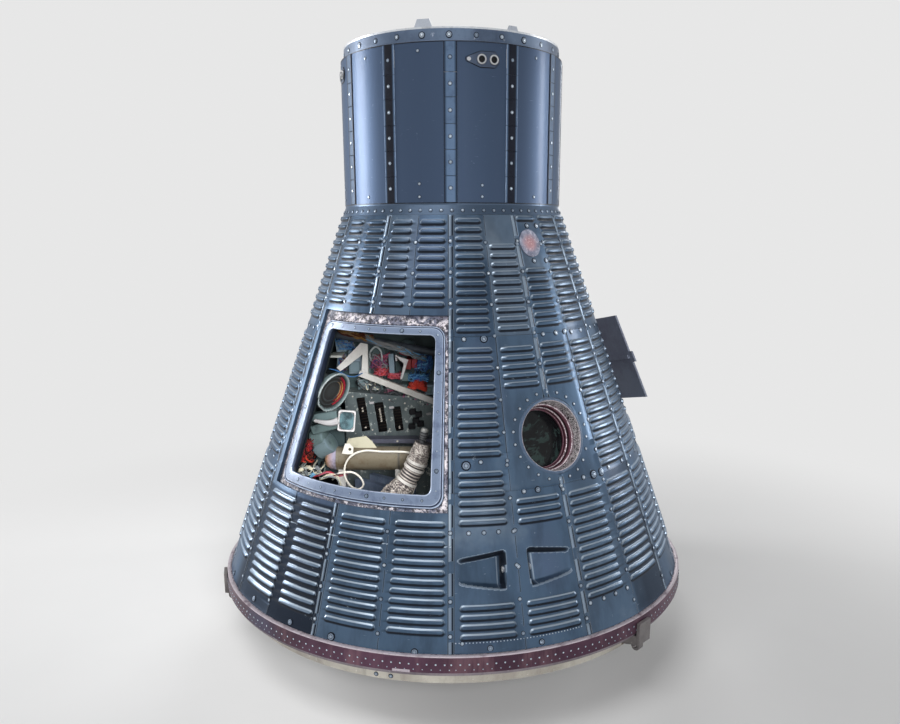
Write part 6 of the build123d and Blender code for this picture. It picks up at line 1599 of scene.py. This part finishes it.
def left_fittings():
    """Equipment on the left wall: flat boxes, canisters, rust-red looms, connectors, the white tube and its bracket."""
    work = Sheetwork()
    slab(work, rounded(0.1, 0.03, 0.004, 3), -0.075, 0.0, upright(-486, -300, 962, -6.0, 10.0), 0.003, tone=0.52)
    slab(work, rounded(0.112, 0.034, 0.004, 3), -0.075, 0.0, upright(-484, -306, 922, -6.0, 16.0), 0.003, tone=0.46)
    for *at, radius, half, tilt, tone in ((-513, -262, 868, 36, 30, 20, 0.5), (-496, -258, 838, 43, 35, 34, 0.56)):
        place = aimed(mm(*at), (math.cos(math.radians(tilt)), -0.28, math.sin(math.radians(tilt))))
        profile = mm((0.4, -half), (radius - 6, -half), (radius, 6 - half), (radius, half - 8), (radius - 3, half - 2), (radius - 8, half),
                     (radius / 2, half + 4), (0.4, half + 5))
        lathe(work, profile, place, 40, tones=tone + np.array([-0.1, -0.1, 0, 0, 0.05, 0, -0.04, -0.06]))
    slab(work, rounded(0.16, 0.26, 0.01, 4), -0.006, 0.0, upright(-500, -226, 830, -8.0), 0.002, tone=0.25)
    block(work, -560, -420, 640, 652, -200, -345, 0.45, corner=2)
    slab(work, rounded(0.02, 0.15, 0.003, 3), -0.004, 0.0, upright(-430, -250, 570), 0.001, tone=0.4)
    slab(work, rounded(0.02, 0.15, 0.003, 3), -0.004, 0.0, upright(-550, -250, 570), 0.001, tone=0.4)
    work.finish("left_equipment", equipment_paint(), "console_grey", crease=32.0)
    wires = Sheetwork()
    rusty = (BROWN, BROWN + 0.06, BROWN + 0.02, ORANGE - 0.02, BROWN + 0.03, BLACK)
    tangle(wires, (-582, -325, 785), (-532, -290, 872), -232, 44, 2.2, rusty, 51)
    tangle(wires, (-590, -342, 735), (-500, -300, 775), -232, 16, 2.4, (CREAM, BROWN, SILVER, BLACK, CREAM - 0.03), 52)
    strands(wires, mm((-545, -240, 700), (-536, -322, 728), (-500, -336, 748), (-470, -336, 756), (-438, -334, 746), (-400, -300, 735)), 4,
            0.008, 0.0026, (PINK, RED, BROWN, SILVER), 53)
    strands(wires, mm((-520, -240, 690), (-500, -330, 728), (-460, -336, 742), (-436, -334, 730), (-430, -330, 690), (-428, -320, 653)), 4,
            0.007, 0.0026, (CREAM, SILVER, CREAM - 0.03), 54)
    for x, z, turn, tone in ((-574, 765, -30, CREAM), (-558, 752, 20, SILVER), (-545, 771, 40, CREAM), (-531, 744, -15, SKY),
                             (-566, 735, 10, CREAM - 0.02), (-514, 770, 30, SILVER)):
        lathe(wires, mm((0.4, -20), (6, -18), (6, -4), (8.5, -3), (8.5, 4), (6.8, 6), (6.8, 18), (4.8, 20), (0.4, 16)),
              upright(x, -334, z, turn), 12, tone=tone)
    wires.finish("left_looms", enamel(), "duct_grey", crease=50.0)
    white = Sheetwork()
    tube_path = mm((-150, -410, 834), (-163, -340, 831), (-210, -331, 833), (-265, -333, 834), (-331, -334, 838), (-379, -334, 821),
            (-405, -335, 787), (-411, -335, 742), (-393, -334, 702), (-364, -334, 684), (-341, -334, 702), (-352, -334, 732),
            (-381, -334, 752), (-424, -330, 750), (-448, -320, 735), (-470, -262, 700))
    tube(white, even_path(smooth_path(tube_path, 10), 0.004), 0.004, 10, tone=0.95)
    slab(white, mm((-26, -20), (18, -24), (20, 4), (6, 20), (-12, 20)), 0.0, 0.003, upright(-398, -304, 838), 0.0008, tone=0.95)
    lathe(white, mm((6, 2.5), (6, 4.2), (3.8, 4.6), (0.4, 3)), upright(-392, -304, 836), 14, tones=[0.3, 0.6, 0.0, 0.0])
    slab(white, mm((-64, -22), (64, -24), (40, 6), (16, 26), (-52, 12)), 0.0, 0.003, upright(-352, -262, 852, 0.0, -3.0), 0.0008, tone=0.66)
    cream = toned_paint("line_cream", ((0, (20, 20, 22)), (0.3, (100, 98, 92)), (0.55, (184, 180, 150)), (0.95, (232, 228, 218)),
                                       (1, (238, 236, 228))), 0.05, 0.35, 200.0, rgb(128, 118, 96), 0.35)
    white.finish("white_lines", cream, "white_paint", crease=32.0)


# ---------- carried nodes and the studio
def carried_finishes():
    """Gives every node of the frame a finish for its material slot."""
    c = colours()
    special = {
        "heat_shield": lambda: charred_shield("shield_char"),
        "aft_ring": lambda: maroon_oxide("ring_oxide", c.maroon, rgb(60, 38, 52), rgb(126, 94, 102)),
        "neck_ring": lambda: oxidised_skin("collar_oxide", rgb(92, 108, 128), rgb(66, 80, 98), rgb(166, 178, 192), rgb(90, 94, 114)),
        "oval_cover": lambda: patched_cover("oval_patch"),
        "neck_panels": neck_metal,
        "console_ledge": lambda: metal("ledge_grey"),
    }
    slots = {row["node"]: row["material_slot"] for row in frame["record"]["subparts"]}
    for node, piece in frame["nodes"].items():
        slot = slots[node]
        if node in special:
            finish = special[node]()
        elif slot in METALS:
            finish = metal(slot)
        elif slot == "glass":
            finish = dark_glass("porthole_pane")
        else:
            finish = skin_metal()
        for index in range(len(piece.material_slots)):
            piece.material_slots[index].material = finish


LAMPS = (  # name and setting, place, aim, width, height, spread in degrees
    ("key", (-5.2, 1.1, 2.3), (0.0, 0.0, 1.6), 1.5, 2.2, 120.0),
    ("fill", (5.4, 1.2, 2.3), (0.0, 0.0, 1.6), 0.6, 2.2, 120.0),
    ("top", (-1.4, -2.6, 5.6), (0.0, 0.0, 1.1), 3.4, 2.2, 120.0),
    ("front", (0.7, -4.6, 2.3), (-0.36, -0.45, 1.05), 1.6, 1.6, 50.0),
    ("back", (0.8, 5.4, 3.4), (0.0, 0.0, 1.2), 3.0, 3.0, 120.0),
)
HORIZON = (0.8, 0.8, 0.8, 1.0)
OVERHEAD = (0.17, 0.175, 0.18, 1.0)


def studio():
    """Floor, soft lamps, pale surroundings and the camera."""
    s = 60.0
    mesh = bpy.data.meshes.new("studio_floor")
    mesh.from_pydata([(-s, -s, 0), (s, -s, 0), (s, s, 0), (-s, s, 0)], [], [(0, 1, 2, 3)])
    floor = linked("studio_floor", mesh)
    mesh.materials.append(studio_paper("studio_paper", colours().backdrop, HORIZON))
    levels = bpy.context.scene.capsule_studio
    air = Finish("studio", bpy.data.worlds.new("studio"))
    bpy.context.scene.world = air.owner
    height = air.height(air.node("ShaderNodeTexCoord", out="Generated"))
    sky = air.ramp(height, ((0.3, HORIZON), (0.6, OVERHEAD)))
    back = air.node("ShaderNodeBackground", {"Color": sky, "Strength": air.seen() * (1.0 - levels.air) + levels.air})
    air.node("ShaderNodeOutputWorld", {"Surface": back})
    for name, at, aim, wide, high, spread in LAMPS:
        lamp = bpy.data.lights.new(name, "AREA")
        lamp.shape, lamp.size, lamp.size_y, lamp.energy = "RECTANGLE", wide, high, getattr(levels, name)
        lamp.spread = math.radians(spread)
        holder = linked(name, lamp)
        holder.location = at
        holder.visible_glossy = name != "front"
        holder.rotation_euler = (Vector(aim) - Vector(at)).to_track_quat("-Z", "Y").to_euler()
    lens = bpy.data.cameras.new("camera")
    camera = linked("camera", lens)
    forward = Vector((0.00254, 0.97498, -0.22226)).normalized()
    right = forward.cross(Vector((0, 0, 1))).normalized()
    up = right.cross(forward)
    roll = -0.0018
    across, over = right * math.cos(roll) + up * math.sin(roll), up * math.cos(roll) - right * math.sin(roll)
    matrix = Matrix((across, over, -forward)).transposed().to_4x4()
    matrix.translation = Vector((0.036, -3.1772, 1.6469))
    camera.matrix_world = matrix
    lens.lens, lens.sensor_width, lens.sensor_fit = 31.21, 36.0, "HORIZONTAL"
    lens.shift_x, lens.shift_y = -0.01545, 0.0522
    bpy.context.scene.camera = camera
    bpy.context.scene.view_settings.view_transform = "Standard"


# ---------- add-on
STEPS = (  # name, label, what it does, the functions that do it
    ("skin", "Beaded skin", "Press the three rows of beaded panels", beaded_skin),
    ("screws", "Skin screws", "Set the screws and rivets of the skin", skin_screws),
    ("hatch", "Hatch surround", "Fit the hatch margin, its frame and screws", hatch_surround),
    ("openings", "Portholes and scoops", "Turn the porthole tubes and panes and the scoops' nozzles", portholes, scoop_fittings),
    ("ring", "Aft ring", "Rivet the aft ring and dress its edge", aft_ring_details),
    ("neck", "Neck", "Tile the neck's strips and fit its nozzles, bolts and rim", neck_strips, neck_fittings),
    ("lining", "Cabin lining", "Line the cabin", cabin_lining),
    ("equipment", "Equipment bay", "Fit the equipment bay, its looms and the console's levers", equipment_bay, looms, console_fittings),
    ("instruments", "Dial and mirror", "Turn the round dial and fit the small mirror", round_dial, wing_mirror),
    ("supply", "Tank and hose", "Turn the supply tank and make the foil hose with its grip", supply_tank, foil_hose),
    ("left_side", "Left side fittings", "Fit the equipment and lines on the cabin's left side", left_fittings),
    ("finishes", "Finishes of the frame", "Give the frame's own parts their finishes", carried_finishes),
    ("studio", "Studio", "Set up the floor, the lamps and the camera", studio),
)


def step_operator(name, label, text, *builders):
    """Makes the operator of one step; its execute runs the step's functions in order."""
    def execute(self, context):
        for build in builders:
            build()
        return {"FINISHED"}
    return type("CAPSULE_OT_" + name, (bpy.types.Operator,),
                {"__doc__": text, "bl_idname": "capsule." + name, "bl_label": label, "execute": execute})


OPERATORS = tuple(step_operator(*step) for step in STEPS)
SETTINGS = (("capsule_skin", SkinSettings), ("capsule_colours", ColourSettings), ("capsule_studio", StudioSettings))


class CAPSULE_PT_dressing(bpy.types.Panel):
    """Lists the sizes, the colours and the steps of the dressing"""
    bl_idname = "CAPSULE_PT_dressing"
    bl_label = "Capsule dressing"
    bl_space_type = "VIEW_3D"
    bl_region_type = "UI"
    bl_category = "Capsule"

    def draw(self, context):
        for attribute, group in SETTINGS:
            for name in group.__annotations__:
                self.layout.prop(getattr(context.scene, attribute), name)
        for operator in OPERATORS:
            self.layout.operator(operator.bl_idname)


CLASSES = (*(group for _, group in SETTINGS), *OPERATORS, CAPSULE_PT_dressing)


def register():
    for cls in CLASSES:
        bpy.utils.register_class(cls)
    for attribute, group in SETTINGS:
        setattr(bpy.types.Scene, attribute, bpy.props.PointerProperty(type=group))


def unregister():
    for attribute, _ in SETTINGS:
        delattr(bpy.types.Scene, attribute)
    for cls in reversed(CLASSES):
        bpy.utils.unregister_class(cls)


def main():
    register()
    for operator in OPERATORS:
        getattr(bpy.ops.capsule, operator.bl_idname.split(".")[1])()


if __name__ == "__main__":
    main()
